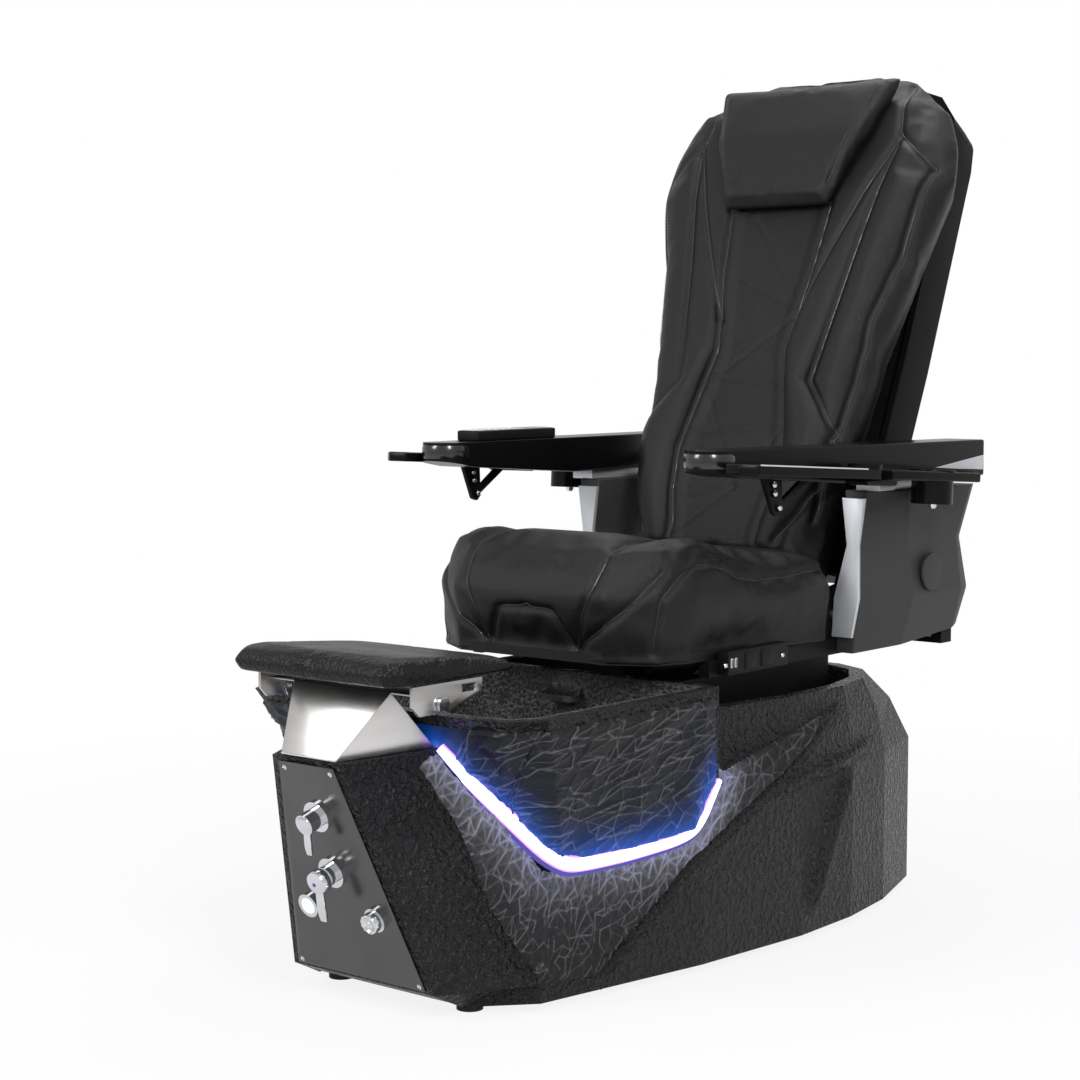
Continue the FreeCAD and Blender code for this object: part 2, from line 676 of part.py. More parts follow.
grip = grip.common(panel_rod(FITTING_X, FITTING_V, KNOB_R, 0, 4 * KNOB_R))
nodes["drain_knob"] = fused([knob, grip, panel_rod(FITTING_X, FITTING_V, STEM_R,
                                                   bezel_top - STEM_DEPTH + SIDE_FIT, knob_low)])

# Jet, fill spout and drain of the basin.


def ring_spots(radius):
    """Evenly spaced spots round a circle."""
    turns = [2 * math.pi * i / HOLE_COUNT for i in range(HOLE_COUNT)]
    return [(radius * math.cos(turn), radius * math.sin(turn)) for turn in turns]


cover = rod((0, wall_y - JET_DEEP, JET_Z), (0, 1, 0), JET_R, JET_DEEP)
cover = cover.cut(rod((0, wall_y - JET_DEEP + JET_WALL, JET_Z), (0, 1, 0), JET_R - JET_WALL, JET_DEEP))
for x, z in ring_spots(JET_HOLE_RING):
    cover = cover.cut(rod((x, wall_y - JET_DEEP - OVER, JET_Z + z), (0, 1, 0), JET_WALL, JET_WALL + 2 * OVER))
nodes["jet_cover"] = cover
motor_y = wall_y + BOWL_WALL
motor = rod((0, motor_y, JET_Z), (0, 1, 0), MOTOR_R, MOTOR_LONG)
nodes["jet_motor"] = motor.cut(rod((0, motor_y - OVER, JET_Z), (0, 1, 0), SHAFT_R + RUN_FIT, MOTOR_LONG / 2))
disc_y = wall_y - JET_DEEP + JET_WALL + IMPELLER_GAP
vane_low = JET_Z - VANE_THICK / 2
impeller = [rod((0, disc_y + IMPELLER_THICK - VANE_THICK, JET_Z), (0, 1, 0), IMPELLER_R, VANE_THICK),
            rod((0, disc_y, JET_Z), (0, 1, 0), SHAFT_R, motor_y + MOTOR_LONG / 2 - IMPELLER_GAP - disc_y)]
for turn in range(HOLE_COUNT):
    vane = box(0, IMPELLER_R - OVER, disc_y, disc_y + IMPELLER_THICK, vane_low, vane_low + VANE_THICK)
    impeller.append(vane.rotated(Vec(0, 0, JET_Z), Vec(0, 1, 0), 360 / HOLE_COUNT * turn))
nodes["jet_impeller"] = fused(impeller)
spout = [(wall_y, SPOUT_Z), (wall_y, SPOUT_Z + SPOUT_HIGH),
         (wall_y - SPOUT_REACH, SPOUT_Z + SPOUT_HIGH / 2), (wall_y - SPOUT_REACH, SPOUT_Z)]
nodes["fill_spout"] = side_prism(spout, -SPOUT_WIDE / 2, SPOUT_WIDE / 2)
drain = fused([rod((0, DRAIN_Y, BOWL_FLOOR_Z), (0, 0, 1), DRAIN_FLANGE_R, PANEL_THICK),
               rod((0, DRAIN_Y, TAIL_TOP_Z), (0, 0, 1), DRAIN_R, BOWL_FLOOR_Z - TAIL_TOP_Z),
               rod((0, DRAIN_Y, TAIL_END_Z), (0, 0, 1), TAIL_R, TAIL_TOP_Z - TAIL_END_Z)])
drain = drain.cut(rod((0, DRAIN_Y, TAIL_END_Z - OVER), (0, 0, 1), TAIL_BORE_R, BOWL_FLOOR_Z - TAIL_END_Z))
for x, y in ring_spots(GRATE_RING):
    drain = drain.cut(rod((x, DRAIN_Y + y, TAIL_TOP_Z), (0, 0, 1), GRATE_R, BOWL_FLOOR_Z))
nodes["drain_fitting"] = drain

# Service plate at the rear with two water inlets and the power inlet.
service = box(-SERVICE_HALF, SERVICE_HALF, rear_y, rear_y + SERVICE_THICK, SERVICE_LOW_Z, SERVICE_HIGH_Z)
power = box(-POWER_HALF, POWER_HALF, rear_y - POWER_HALF, rear_y + 2 * SERVICE_THICK,
            INLET_Z - POWER_HIGH / 2, INLET_Z + POWER_HIGH / 2)
flange_half = POWER_HALF + POWER_LIP
flange_rise = POWER_HIGH / 2 + POWER_LIP
power_flange = box(-flange_half, flange_half, rear_y + SERVICE_THICK, rear_y + 2 * SERVICE_THICK,
                   INLET_Z - flange_rise, INLET_Z + flange_rise)
service = service.cut(power)
inlets = []
for x in (-INLET_X, INLET_X):
    start = (x, rear_y + SERVICE_THICK, INLET_Z)
    inlets.append(fused([rod(start, (0, 1, 0), INLET_NUT_R, INLET_NUT),
                         rod((x, rear_y - INLET_LONG, INLET_Z), (0, 1, 0), INLET_R,
                             2 * INLET_LONG + SERVICE_THICK + INLET_NUT)]))
    service = service.cut(rod((x, rear_y - OVER, INLET_Z), (0, 1, 0), INLET_R, SERVICE_THICK + 2 * OVER))
nodes["service_plate"] = service
nodes["water_inlets"] = Part.makeCompound(inlets)
nodes["power_inlet"] = fused([power, power_flange])

# Footrest bracket of folded sheet on the prow, with ears for the pivot bolts.
foot_front = BRACKET_FOOT_FRONT
foot_rear = BRACKET_FOOT_REAR
sole = prism([foot_front, foot_rear, flip(foot_rear), flip(foot_front)], (0, 0, BRACKET_THICK))
top_front = (BRACKET_TOP_HALF, BRACKET_TOP_FRONT_Y, BRACKET_TOP_Z)
sheets = [sole, prism([foot_front, top_front, flip(top_front), flip(foot_front)], (0, BRACKET_FACE, 0)),
          box(-EAR_X, EAR_X, BRACKET_TOP_FRONT_Y, BRACKET_TOP_REAR_Y, BRACKET_TOP_Z - BRACKET_THICK,
              BRACKET_TOP_Z)]
wing = prism([foot_front, foot_rear, top_front], (-BRACKET_THICK, 0, 0))
ear = side_prism([(PIVOT_Y - EAR_R, BRACKET_TOP_Z), (BRACKET_TOP_REAR_Y, BRACKET_TOP_Z),
                  (BRACKET_TOP_REAR_Y, PIVOT_Z), (PIVOT_Y + EAR_R / 2, PIVOT_Z - EAR_R),
                  (PIVOT_Y - EAR_R / 2, PIVOT_Z - EAR_R), (PIVOT_Y - EAR_R, PIVOT_Z)],
                 EAR_X - BRACKET_THICK, EAR_X)
sheets += [wing, mirrored(wing), ear, mirrored(ear)]
pivot_hole = rod((-EAR_X - OVER, PIVOT_Y, PIVOT_Z), X_AXIS, PIVOT_R, 2 * (EAR_X + OVER))
nodes["footrest_bracket"] = fused(sheets).cut(pivot_hole)
link_x = EAR_X + LINK_GAP
bolt = rod((EAR_X - BOLT_GRIP, PIVOT_Y, PIVOT_Z), X_AXIS, PIVOT_R, BOLT_GRIP + LINK_THICK + 2 * LINK_GAP)
bolt_head = rod((link_x + LINK_THICK + LINK_GAP, PIVOT_Y, PIVOT_Z), X_AXIS, PIVOT_HEAD_R, LINK_THICK)
bolt = fused([bolt, bolt_head])
nodes["footrest_pivots"] = both(bolt)
bevel = (PAD_BOTTOM_Z - LINK_LOW_Z) / 3
link = side_prism([(LINK_FRONT_Y, PAD_BOTTOM_Z), (LINK_REAR_Y, PAD_BOTTOM_Z),
                   (LINK_REAR_Y, LINK_REAR_LOW_Z), (LINK_HEEL_Y, LINK_LOW_Z),
                   (LINK_FRONT_Y + bevel, LINK_LOW_Z), (LINK_FRONT_Y, LINK_LOW_Z + bevel)],
                  link_x, link_x + LINK_THICK)
link = link.cut(rod((0, PIVOT_Y, PIVOT_Z), X_AXIS, PIVOT_R + RUN_FIT, 2 * EAR_X))
slot = box(EAR_X, link_x + 2 * LINK_THICK, LINK_SLOT[0], LINK_SLOT[1], LINK_SLOT_Z - LINK_SLOT[2],
           LINK_SLOT_Z + LINK_SLOT[2])
nodes["footrest_links"] = both(link.cut(slot))
nodes["footrest_pad"] = hull([level(PAD_BOTTOM, PAD_BOTTOM_Z), PAD_MIDDLE, PAD_TOP])

# Seat carriage: side bars, cross bars, back pivot plates, uprights to the arms, drive lug.
bar_out = BAR_X + BAR_WIDTH
frame = []
for y in SHOE_YS:
    frame.append(box(-BAR_X, BAR_X, y - CROSS_WIDTH / 2, y + CROSS_WIDTH / 2, CARRIAGE_Z, CARRIAGE_TOP_Z))
frame.append(box(SLIDE_DRIVE_X - LUG_THICK / 2, SLIDE_DRIVE_X + LUG_THICK / 2, LUG_Y, LUG_Y + LUG_THICK,
                 SLIDE_DRIVE_Z - LUG_THICK / 2, CARRIAGE_Z + OVER))
upright_rear = UPRIGHT_Y + UPRIGHT_DEEP
head_half = UPRIGHT_DEEP / 2
head = [(UPRIGHT_Y, SIDE_TOP_Z), (upright_rear, SIDE_TOP_Z + SEAT_FIT), (ARM_PIN_Y + head_half, ARM_PIN_Z),
        (ARM_PIN_Y - head_half, ARM_PIN_Z)]
side = [box(BAR_X, bar_out, BAR_FRONT_Y, upright_rear, CARRIAGE_Z, CARRIAGE_TOP_Z),
        box(PLATE_X, PLATE_X + PLATE_THICK, PIVOT_BACK_Y - PLATE_HALF, PIVOT_BACK_Y + PLATE_HALF,
            CARRIAGE_TOP_Z - OVER, PIVOT_BACK_Z + PLATE_RISE),
        box(bar_out - OVER, UPRIGHT_X + UPRIGHT_WIDTH, UPRIGHT_Y, upright_rear, CARRIAGE_Z,
            CARRIAGE_Z + BAR_WIDTH / 2),
        box(UPRIGHT_X, UPRIGHT_X + UPRIGHT_WIDTH, UPRIGHT_Y, upright_rear, CARRIAGE_Z, SIDE_TOP_Z + SEAT_FIT),
        side_prism(head, UPRIGHT_X, UPRIGHT_X + UPRIGHT_WIDTH),
        rod((UPRIGHT_X, ARM_PIN_Y, ARM_PIN_Z), X_AXIS, head_half, UPRIGHT_WIDTH)]
left = fused(side).cut(rod((0, PIVOT_BACK_Y, PIVOT_BACK_Z), X_AXIS, BACK_PIN_R, 2 * BAR_X))
left = left.cut(rod((0, ARM_PIN_Y, ARM_PIN_Z), X_AXIS, ARM_PIN_R, 2 * UPRIGHT_X))
nodes["carriage_frame"] = fused(frame + [left, mirrored(left)])
shoes = []
for y in SHOE_YS:
    shoes.append(both(box(RAIL_X - RAIL_WIDTH / 2, RAIL_X + RAIL_WIDTH / 2, y - CROSS_WIDTH / 2,
                          y + CROSS_WIDTH / 2, RAIL_TOP_Z + SHOE_GAP, CARRIAGE_Z)))
nodes["slide_shoes"] = Part.makeCompound([s for pair in shoes for s in pair.Solids])
nodes["slide_rod"] = rod((SLIDE_DRIVE_X, SLIDE_ROD_FRONT_Y, SLIDE_DRIVE_Z), (0, 1, 0), SLIDE_ROD_R,
                         LUG_Y - SLIDE_ROD_FRONT_Y)
pan_top = CARRIAGE_TOP_Z + SEAT_PAN
pan = inset(level(SEAT_BOTTOM, CARRIAGE_TOP_Z), 2 * SEAT_FIT)
nodes["seat_pan"] = hull([pan, lowered(pan, -SEAT_PAN)])
nodes["seat_cushion"] = hull([level(SEAT_BOTTOM, pan_top), SEAT_MIDDLE, SEAT_TOP])
back_pins = rod((BACK_TUBE_X, PIVOT_BACK_Y, PIVOT_BACK_Z), X_AXIS, BACK_PIN_R, BACK_PIN_END - BACK_TUBE_X)
nodes["back_pivots"] = both(back_pins)

# Side panels with their trims, caps and arm posts, and the outlet box under the seat.


def side_ring(z, points, by):
    """Ring of a side panel; the lowest one rises to the rear."""
    ring = []
    rear = max(y for x, y in points)
    for x, y in points:
        across = by if x in (points[0][0], points[-1][0]) else -by
        along = {points[0][1]: by, rear: -by}.get(y, 0)
        rise = SIDE_RISE * (y + along - SIDE_FRONT_Y) if z == SIDE_RINGS[0][0] else 0
        ring.append((x + across, y + along, z + rise))
    return ring


outer_side = stack([side_ring(z, ring, 0) for z, ring in SIDE_RINGS])
inner_rings = [side_ring(z, ring, PANEL_WALL) for z, ring in SIDE_RINGS]
inner_rings[0] = lowered(inner_rings[0], PANEL_WALL)
inner_rings[-1] = lowered(inner_rings[-1], PANEL_WALL)
side_cover = outer_side.cut(stack(inner_rings))
side_cover = side_cover.cut(box(UPRIGHT_X - SEAT_FIT, UPRIGHT_X + UPRIGHT_WIDTH + SEAT_FIT,
                                UPRIGHT_Y - SEAT_FIT, upright_rear + SEAT_FIT, CARRIAGE_Z - OVER,
                                SIDE_TOP_Z + OVER))
side_cover = side_cover.cut(rod((UPRIGHT_X, CAP_Y, CAP_Z), X_AXIS, CAP_STEM_R, 2 * CAP_R))
nodes["side_panels"] = both(max(side_cover.Solids, key=lambda s: s.Volume))
trim_rings = SIDE_RINGS[1:-1] + [(TRIM_HIGH_Z, SIDE_RINGS[-1][1])]
trim_outline = TRIM_LOW + [(ring[1][0], z) for z, ring in trim_rings]
trim_outline += [(ring[0][0], z) for z, ring in reversed(trim_rings)]
trim = prism([(x, SIDE_FRONT_Y - TRIM_THICK, z) for x, z in trim_outline], (0, TRIM_THICK, 0))
nodes["side_trims"] = both(trim)
cap_stem = rod((CAP_X - 2 * CAP_STEM_R, CAP_Y, CAP_Z), X_AXIS, CAP_STEM_R, 2 * CAP_STEM_R)
nodes["panel_caps"] = both(fused([rod((CAP_X, CAP_Y, CAP_Z), X_AXIS, CAP_R, CAP_THICK), cap_stem]))
rest_z = ARM_UNDER_Z - SIDE_FIT
nodes["arm_posts"] = both(box(*POST_BLOCK, SIDE_TOP_Z, rest_z))
pin_in = ARM_X - ARM_HALF + ARM_PIN_INSET
nodes["arm_pins"] = both(rod((pin_in, ARM_PIN_Y, ARM_PIN_Z), X_AXIS, ARM_PIN_R,
                             2 * (ARM_HALF - ARM_PIN_INSET)))
nodes["outlet_box"] = box(bar_out, bar_out + OUTLET_DEEP, OUTLET_Y, OUTLET_Y + OUTLET_LONG, OUTLET_LOW_Z,
                          OUTLET_HIGH_Z)

# Recline drive under the seat: the rod's cross pin runs in the slotted levers of the back frame.
lever_turn = math.radians(LEVER_TILT)
lever_y = PIVOT_BACK_Y + LEVER_LONG * math.sin(lever_turn)
lever_z = PIVOT_BACK_Z - LEVER_LONG * math.cos(lever_turn)
drive = rod((0, DRIVE_FRONT_Y, lever_z), (0, 1, 0), DRIVE_R, DRIVE_REAR_Y - DRIVE_FRONT_Y)
hanger = box(-ROD_R, ROD_R, DRIVE_FRONT_Y + HANGER_INSET, DRIVE_FRONT_Y + CROSS_WIDTH - HANGER_INSET, lever_z,
             CARRIAGE_Z)
drive_bore = rod((0, DRIVE_FRONT_Y + DRIVE_END, lever_z), (0, 1, 0), ROD_R + RUN_FIT, DRIVE_REAR_Y)
nodes["recline_drive"] = fused([drive, hanger]).cut(drive_bore)
lever_out = LEVER_X + LEVER_THICK
pin_half = lever_out + LEVER_PIN_OVER
nodes["recline_rod"] = fused([rod((0, ROD_FRONT_Y, lever_z), (0, 1, 0), ROD_R, lever_y - ROD_FRONT_Y),
                              rod((-pin_half, lever_y, lever_z), X_AXIS, LEVER_PIN_R, 2 * pin_half)])

# Back frame, with the torsion tube on the pivots and two slotted levers.
tube_front = BACK_TUBE_REAR + BACK_TUBE_DEEP
cheek_r = TORSION_R + CHEEK_WALL
cheek = [(CHEEK_FOOT, BACK_TUBE_REAR), (BACK_TUBE_TOP, BACK_TUBE_REAR), (BACK_TUBE_TOP, tube_front),
         (CHEEK_BENDS[1], tube_front), (CHEEK_BENDS[0], cheek_r), (-cheek_r, cheek_r), (-cheek_r, -cheek_r)]
back_parts = []
for x in (-BACK_TUBE_X - BACK_TUBE_WIDTH, BACK_TUBE_X):
    back_parts.append(prism([(x, u, f) for u, f in cheek], (BACK_TUBE_WIDTH, 0, 0)))
for u in BACK_CROSS_US:
    back_parts.append(box(-BACK_TUBE_X - OVER, BACK_TUBE_X + OVER, u - BACK_TUBE_WIDTH / 2,
                          u + BACK_TUBE_WIDTH / 2, BACK_TUBE_REAR, tube_front))
    for x in (-BOSS_X, BOSS_X):
        back_parts.append(rod((x, u, SHELL_REAR + SHELL_THICK), (0, 0, 1), BOSS_R,
                              BACK_REAR_F - SHELL_REAR - SHELL_THICK))
back_parts.append(rod((-BACK_TUBE_X - OVER, 0, 0), X_AXIS, TORSION_R, 2 * (BACK_TUBE_X + OVER)))
back_frame = placed(fused(back_parts), BACK_PLACE)
slot_reach = LEVER_SLOT + LEVER_PIN_R
lever_half = LEVER_PIN_R + LEVER_RIM
lever = box(LEVER_X, lever_out, -lever_half, lever_half, -LEVER_LONG - slot_reach - LEVER_RIM, 0)
slot_half = LEVER_PIN_R + LEVER_SLACK
lever = lever.cut(box(LEVER_X - OVER, lever_out + OVER, -slot_half, slot_half, -LEVER_LONG - slot_reach,
                      -LEVER_LONG + slot_reach))
lever = lever.rotated(Vec(0, 0, 0), Vec(1, 0, 0), LEVER_TILT).translated(Vec(0, PIVOT_BACK_Y, PIVOT_BACK_Z))
back_frame = fused([back_frame, lever, mirrored(lever)])
pin_room = rod((-BAR_X, PIVOT_BACK_Y, PIVOT_BACK_Z), X_AXIS, BACK_PIN_R + RUN_FIT, 2 * BAR_X)
nodes["back_frame"] = back_frame.cut(pin_room)
nodes["back_cushion"] = placed(hull([level(BACK_REAR, BACK_REAR_F), BACK_MID, BACK_FRONT]), BACK_PLACE)
pillow_rear = [(half, u, f + PILLOW_GAP) for half, (x, u, f) in zip(PILLOW_REAR_HALVES, BACK_FRONT[4:7])]
nodes["head_pillow"] = placed(hull([pillow_rear, PILLOW_MID, PILLOW_FRONT]), BACK_PLACE)
shell_front = level(SHELL_OUTLINE, SHELL_FRONT)
shell_rear = inset(level(SHELL_OUTLINE, SHELL_REAR), SHELL_SLOPE)
hollow = [lowered(inset(shell_rear, SHELL_THICK), -SHELL_THICK), inset(shell_front, SHELL_THICK)]
hollow.append(lowered(hollow[-1], -SHELL_THICK))
tube_room = box(BACK_TUBE_X - SEAT_FIT, BACK_TUBE_X + BACK_TUBE_WIDTH + SEAT_FIT, 0, BACK_CROSS_US[0],
                BACK_TUBE_REAR - SEAT_FIT, 0)
back_shell = hull([shell_rear, shell_front]).cut(hull(hollow)).cut(both(tube_room))
nodes["back_shell"] = placed(back_shell, BACK_PLACE)

# Massage rails, carriage and rollers inside the back.
rail_low = BACK_CROSS_US[0] + BACK_TUBE_WIDTH / 2
rail_high = BACK_CROSS_US[1] - BACK_TUBE_WIDTH / 2
rail = rod((MASSAGE_RAIL_X, rail_low, MASSAGE_RAIL_F), (0, 1, 0), MASSAGE_RAIL_R, rail_high - rail_low)
nodes["massage_rails"] = placed(both(rail), BACK_PLACE)
u0, u1, f0, f1 = MASSAGE_CARRIAGE
reach = MASSAGE_RAIL_X + 2 * MASSAGE_RAIL_R
carriage = box(-reach, reach, u0, u1, f0, f1)
for x in (-MASSAGE_RAIL_X, MASSAGE_RAIL_X):
    carriage = carriage.cut(rod((x, u0 - OVER, MASSAGE_RAIL_F), (0, 1, 0), MASSAGE_RAIL_R + RUN_FIT,
                                u1 - u0 + 2 * OVER))
roller_u = (u0 + u1) / 2
bay = ROLLER_R + ROLLER_BAY
bay_half = ROLLER_WIDTH / 2 + ROLLER_BAY
for x in (-ROLLER_X, ROLLER_X):
    carriage = carriage.cut(box(x - bay_half, x + bay_half, roller_u - bay, roller_u + bay, f0 - OVER,
                                f1 + OVER))
axle_half = ROLLER_X + bay_half + 2 * ROLLER_BAY
carriage = carriage.cut(rod((-axle_half - OVER, roller_u, ROLLER_F), X_AXIS, ROLLER_AXLE_R + RUN_FIT,
                            2 * (axle_half + OVER)))
nodes["massage_carriage"] = placed(carriage, BACK_PLACE)
rollers = [rod((-axle_half, roller_u, ROLLER_F), X_AXIS, ROLLER_AXLE_R, 2 * axle_half)]
for x in (-ROLLER_X, ROLLER_X):
    rollers.append(rod((x - ROLLER_WIDTH / 2, roller_u, ROLLER_F), X_AXIS, ROLLER_R, ROLLER_WIDTH))
nodes["massage_rollers"] = placed(fused(rollers), BACK_PLACE)

# Arms, turned in to the front: round-fronted slab, ledge with a cup hole, stud for the swinging tray.
arm_in = ARM_X - ARM_HALF
arm_out = ARM_X + ARM_HALF
slab_plan = fused([box(arm_in, arm_out, ARM_FRONT_Y + ARM_HALF, ARM_REAR_Y, 0, 2 * ARM_TOP_Z),
                   rod((ARM_X, ARM_FRONT_Y + ARM_HALF, 0), (0, 0, 1), ARM_HALF, 2 * ARM_TOP_Z)])
slab = [(ARM_FRONT_Y, ARM_TOP_Z), (ARM_REAR_Y, ARM_TOP_Z), (ARM_REAR_Y, ARM_UNDER_Z)] + ARM_UNDER
slab = placed(side_prism(slab, arm_in, arm_out).common(slab_plan), ARM_PLACE)
ledge_in = arm_out - LEDGE_ROOT
ledge = [(ledge_in, LEDGE_START), (LEDGE_OUT_X, LEDGE_START), (LEDGE_OUT_X, LEDGE_TURN),
         (arm_out, LEDGE_END), (ledge_in, LEDGE_END)]
ledge = plan_prism(ledge, -LEDGE_THICK, 0)
tongue_low = -LEDGE_THICK - TONGUE_GAP - TONGUE_THICK
px, py = TRAY_PIVOT
tongue_rear = LEDGE_START + TRAY_KNUCKLE_R
ledge = fused([ledge, box(px - TONGUE_HALF, px + TONGUE_HALF, py - TONGUE_HALF, tongue_rear, tongue_low,
                          -LEDGE_THICK - TONGUE_GAP),
               box(px - TONGUE_HALF, px + TONGUE_HALF, LEDGE_START, tongue_rear, tongue_low,
                   -LEDGE_THICK + OVER),
               rod((px, py, tongue_low), (0, 0, 1), STUD_PIN_R, TONGUE_THICK + TONGUE_GAP + STUD_LONG)])
cx, cy = CUP_CENTRE
ledge = ledge.cut(rod((cx, cy, -LEDGE_THICK - OVER), (0, 0, 1), CUP_R + CUP_WALL,
                      LEDGE_THICK + 2 * OVER))
ledge = placed(ledge, LEDGE_PLACE)
arm = fused([slab, ledge])
arm = arm.cut(box(UPRIGHT_X - ARM_SLOT, UPRIGHT_X + UPRIGHT_WIDTH + ARM_SLOT, UPRIGHT_Y - ARM_SLOT,
                  ARM_REAR_Y + ARM_HALF, 0, ARM_PIN_Z + head_half + ARM_SLOT))
arm = arm.cut(rod((0, ARM_PIN_Y, ARM_PIN_Z), X_AXIS, ARM_PIN_R + RUN_FIT,
                  arm_out - ARM_PIN_INSET + SIDE_FIT))
cup = fused([rod((cx, cy, CUP_FLANGE - CUP_DEEP), (0, 0, 1), CUP_R + CUP_WALL, CUP_DEEP),
             rod((cx, cy, 0), (0, 0, 1), CUP_FLANGE_R, CUP_FLANGE)])
cup = cup.cut(rod((cx, cy, CUP_FLANGE + CUP_WALL - CUP_DEEP), (0, 0, 1), CUP_R, CUP_DEEP))
cup = placed(cup, LEDGE_PLACE)
nodes["arm_left"] = arm
nodes["arm_right"] = mirrored(arm)
nodes["cup_left"] = cup
nodes["cup_right"] = mirrored(cup)
tray = fused([plan_prism(TRAY_OUTLINE, -LEDGE_THICK, 0),
              rod((px, py, -LEDGE_THICK), (0, 0, 1), TRAY_KNUCKLE_R, LEDGE_THICK + TRAY_PROUD)])
tray = tray.cut(rod((px, py, -LEDGE_THICK - OVER), (0, 0, 1), STUD_PIN_R + RUN_FIT, STUD_LONG + 2 * OVER))
nodes["tray_left"] = placed(tray, LEDGE_PLACE)
nodes["tray_right"] = mirrored(nodes["tray_left"])
brace = [side_prism(BRACE_PLATE, BRACE_X - BRACE_THICK / 2, BRACE_X + BRACE_THICK / 2),
         side_prism(BRACE_BAR, BRACE_X - BRACE_THICK / 2, BRACE_X + BRACE_THICK / 2)]
for y, z in BRACE_BOLTS:
    brace.append(rod((BRACE_X - BRACE_THICK, y, z), X_AXIS, BRACE_BOLT_R, 2 * BRACE_THICK))
nodes["brace_left"] = placed(fused(brace), ARM_PLACE).cut(arm)
nodes["brace_right"] = mirrored(nodes["brace_left"])
remote = box(ARM_X - REMOTE[0] / 2, ARM_X + REMOTE[0] / 2, REMOTE_Y, REMOTE_Y + REMOTE[1], ARM_TOP_Z,
             ARM_TOP_Z + REMOTE[2])
nodes["remote_handset"] = mirrored(placed(remote, ARM_PLACE))

# The origin is the centre of the bottom of the whole chair.
whole = FreeCAD.BoundBox()
for shape in nodes.values():
    whole.add(shape.BoundBox)
ORIGIN = Vec(whole.Center.x, whole.Center.y, whole.ZMin)
os.makedirs("parts", exist_ok=True)
for name, shape in nodes.items():
    shape.translated(-ORIGIN).exportStep("parts/" + name + ".step")
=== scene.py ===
import json
import math

import bmesh
import bpy
import numpy as np
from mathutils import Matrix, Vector
from mathutils.bvhtree import BVHTree
from mathutils.geometry import delaunay_2d_cdt

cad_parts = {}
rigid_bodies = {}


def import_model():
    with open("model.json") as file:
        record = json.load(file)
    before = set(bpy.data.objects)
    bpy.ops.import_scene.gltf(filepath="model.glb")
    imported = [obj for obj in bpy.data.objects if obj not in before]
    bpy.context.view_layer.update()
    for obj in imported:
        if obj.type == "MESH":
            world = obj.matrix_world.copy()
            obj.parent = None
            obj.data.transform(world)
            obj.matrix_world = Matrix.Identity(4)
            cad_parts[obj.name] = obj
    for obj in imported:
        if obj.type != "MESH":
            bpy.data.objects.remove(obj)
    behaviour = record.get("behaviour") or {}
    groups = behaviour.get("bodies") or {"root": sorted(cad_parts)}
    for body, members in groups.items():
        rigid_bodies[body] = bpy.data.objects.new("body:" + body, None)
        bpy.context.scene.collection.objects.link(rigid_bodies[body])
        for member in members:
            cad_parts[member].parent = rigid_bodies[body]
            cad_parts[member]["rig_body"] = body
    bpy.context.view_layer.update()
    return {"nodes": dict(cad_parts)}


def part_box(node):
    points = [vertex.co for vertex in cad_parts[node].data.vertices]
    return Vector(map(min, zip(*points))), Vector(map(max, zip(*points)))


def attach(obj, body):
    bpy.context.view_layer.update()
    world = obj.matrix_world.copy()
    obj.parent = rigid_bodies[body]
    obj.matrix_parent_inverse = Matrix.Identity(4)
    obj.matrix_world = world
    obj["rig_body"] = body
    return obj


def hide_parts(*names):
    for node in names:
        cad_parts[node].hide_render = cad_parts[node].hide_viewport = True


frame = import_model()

# Base shell: the boat-shaped body that stands on the floor, laid up in black resin with a pebbled skin.
# It comes out of one mould, so its long corners are softly rounded and nothing is screwed onto it.


class Tone:
    """A socket in a finish, so that its sums are written as plain Python."""

    def __init__(self, tree, socket):
        self.tree = tree
        self.socket = socket

    def node(self, kind, settings=(), sockets=(), out=0):
        made = self.tree.nodes.new(kind)
        for key, value in dict(settings).items():
            if key == "stops":
                for place, colour in value[1:-1]:
                    made.color_ramp.elements.new(place)
                for stop, (place, colour) in zip(made.color_ramp.elements, value):
                    stop.position = place
                    stop.color = (*colour, 1.0)
            else:
                setattr(made, key, value)
        for key, value in dict(sockets).items():
            if isinstance(value, Tone):
                self.tree.links.new(value.socket, made.inputs[key])
            else:
                made.inputs[key].default_value = value
        return Tone(self.tree, made.outputs[out])

    def maths(self, operation, first, second=0.0):
        return self.node("ShaderNodeMath", {"operation": operation}, {0: first, 1: second})

    def __add__(self, other):
        return self.maths("ADD", self, other)

    def __sub__(self, other):
        return self.maths("SUBTRACT", self, other)

    def __rsub__(self, other):
        return self.maths("SUBTRACT", other, self)

    def __mul__(self, other):
        return self.maths("MULTIPLY", self, other)

    __radd__ = __add__
    __rmul__ = __mul__

    def between(self, low, high):
        return self.node("ShaderNodeMapRange", {"clamp": True}, {"Value": self, 1: low, 2: high})

    def tint(self, dark, light):
        return self.node("ShaderNodeMix", {"data_type": "RGBA"}, {0: self, 6: (*dark, 1), 7: (*light, 1)}, 2)

    def stretched(self, x, y, z):
        return self.node("ShaderNodeVectorMath", {"operation": "MULTIPLY"}, {0: self, 1: (x, y, z)})

    def clouds(self, size, detail=2.0):
        return self.node("ShaderNodeTexNoise", (), {"Vector": self, "Scale": 1 / size, "Detail": detail})

    def cells(self, size, feature="F1"):
        return self.node("ShaderNodeTexVoronoi", {"feature": feature}, {"Vector": self, "Scale": 1 / size})

    def raised(self, height, strength=1.0, rounding=0.0):
        sockets = {"Strength": strength, "Distance": height, "Height": self}
        if rounding:
            sockets["Normal"] = self.node("ShaderNodeBevel", {"samples": 6}, {"Radius": rounding})
        return self.node("ShaderNodeBump", (), sockets)


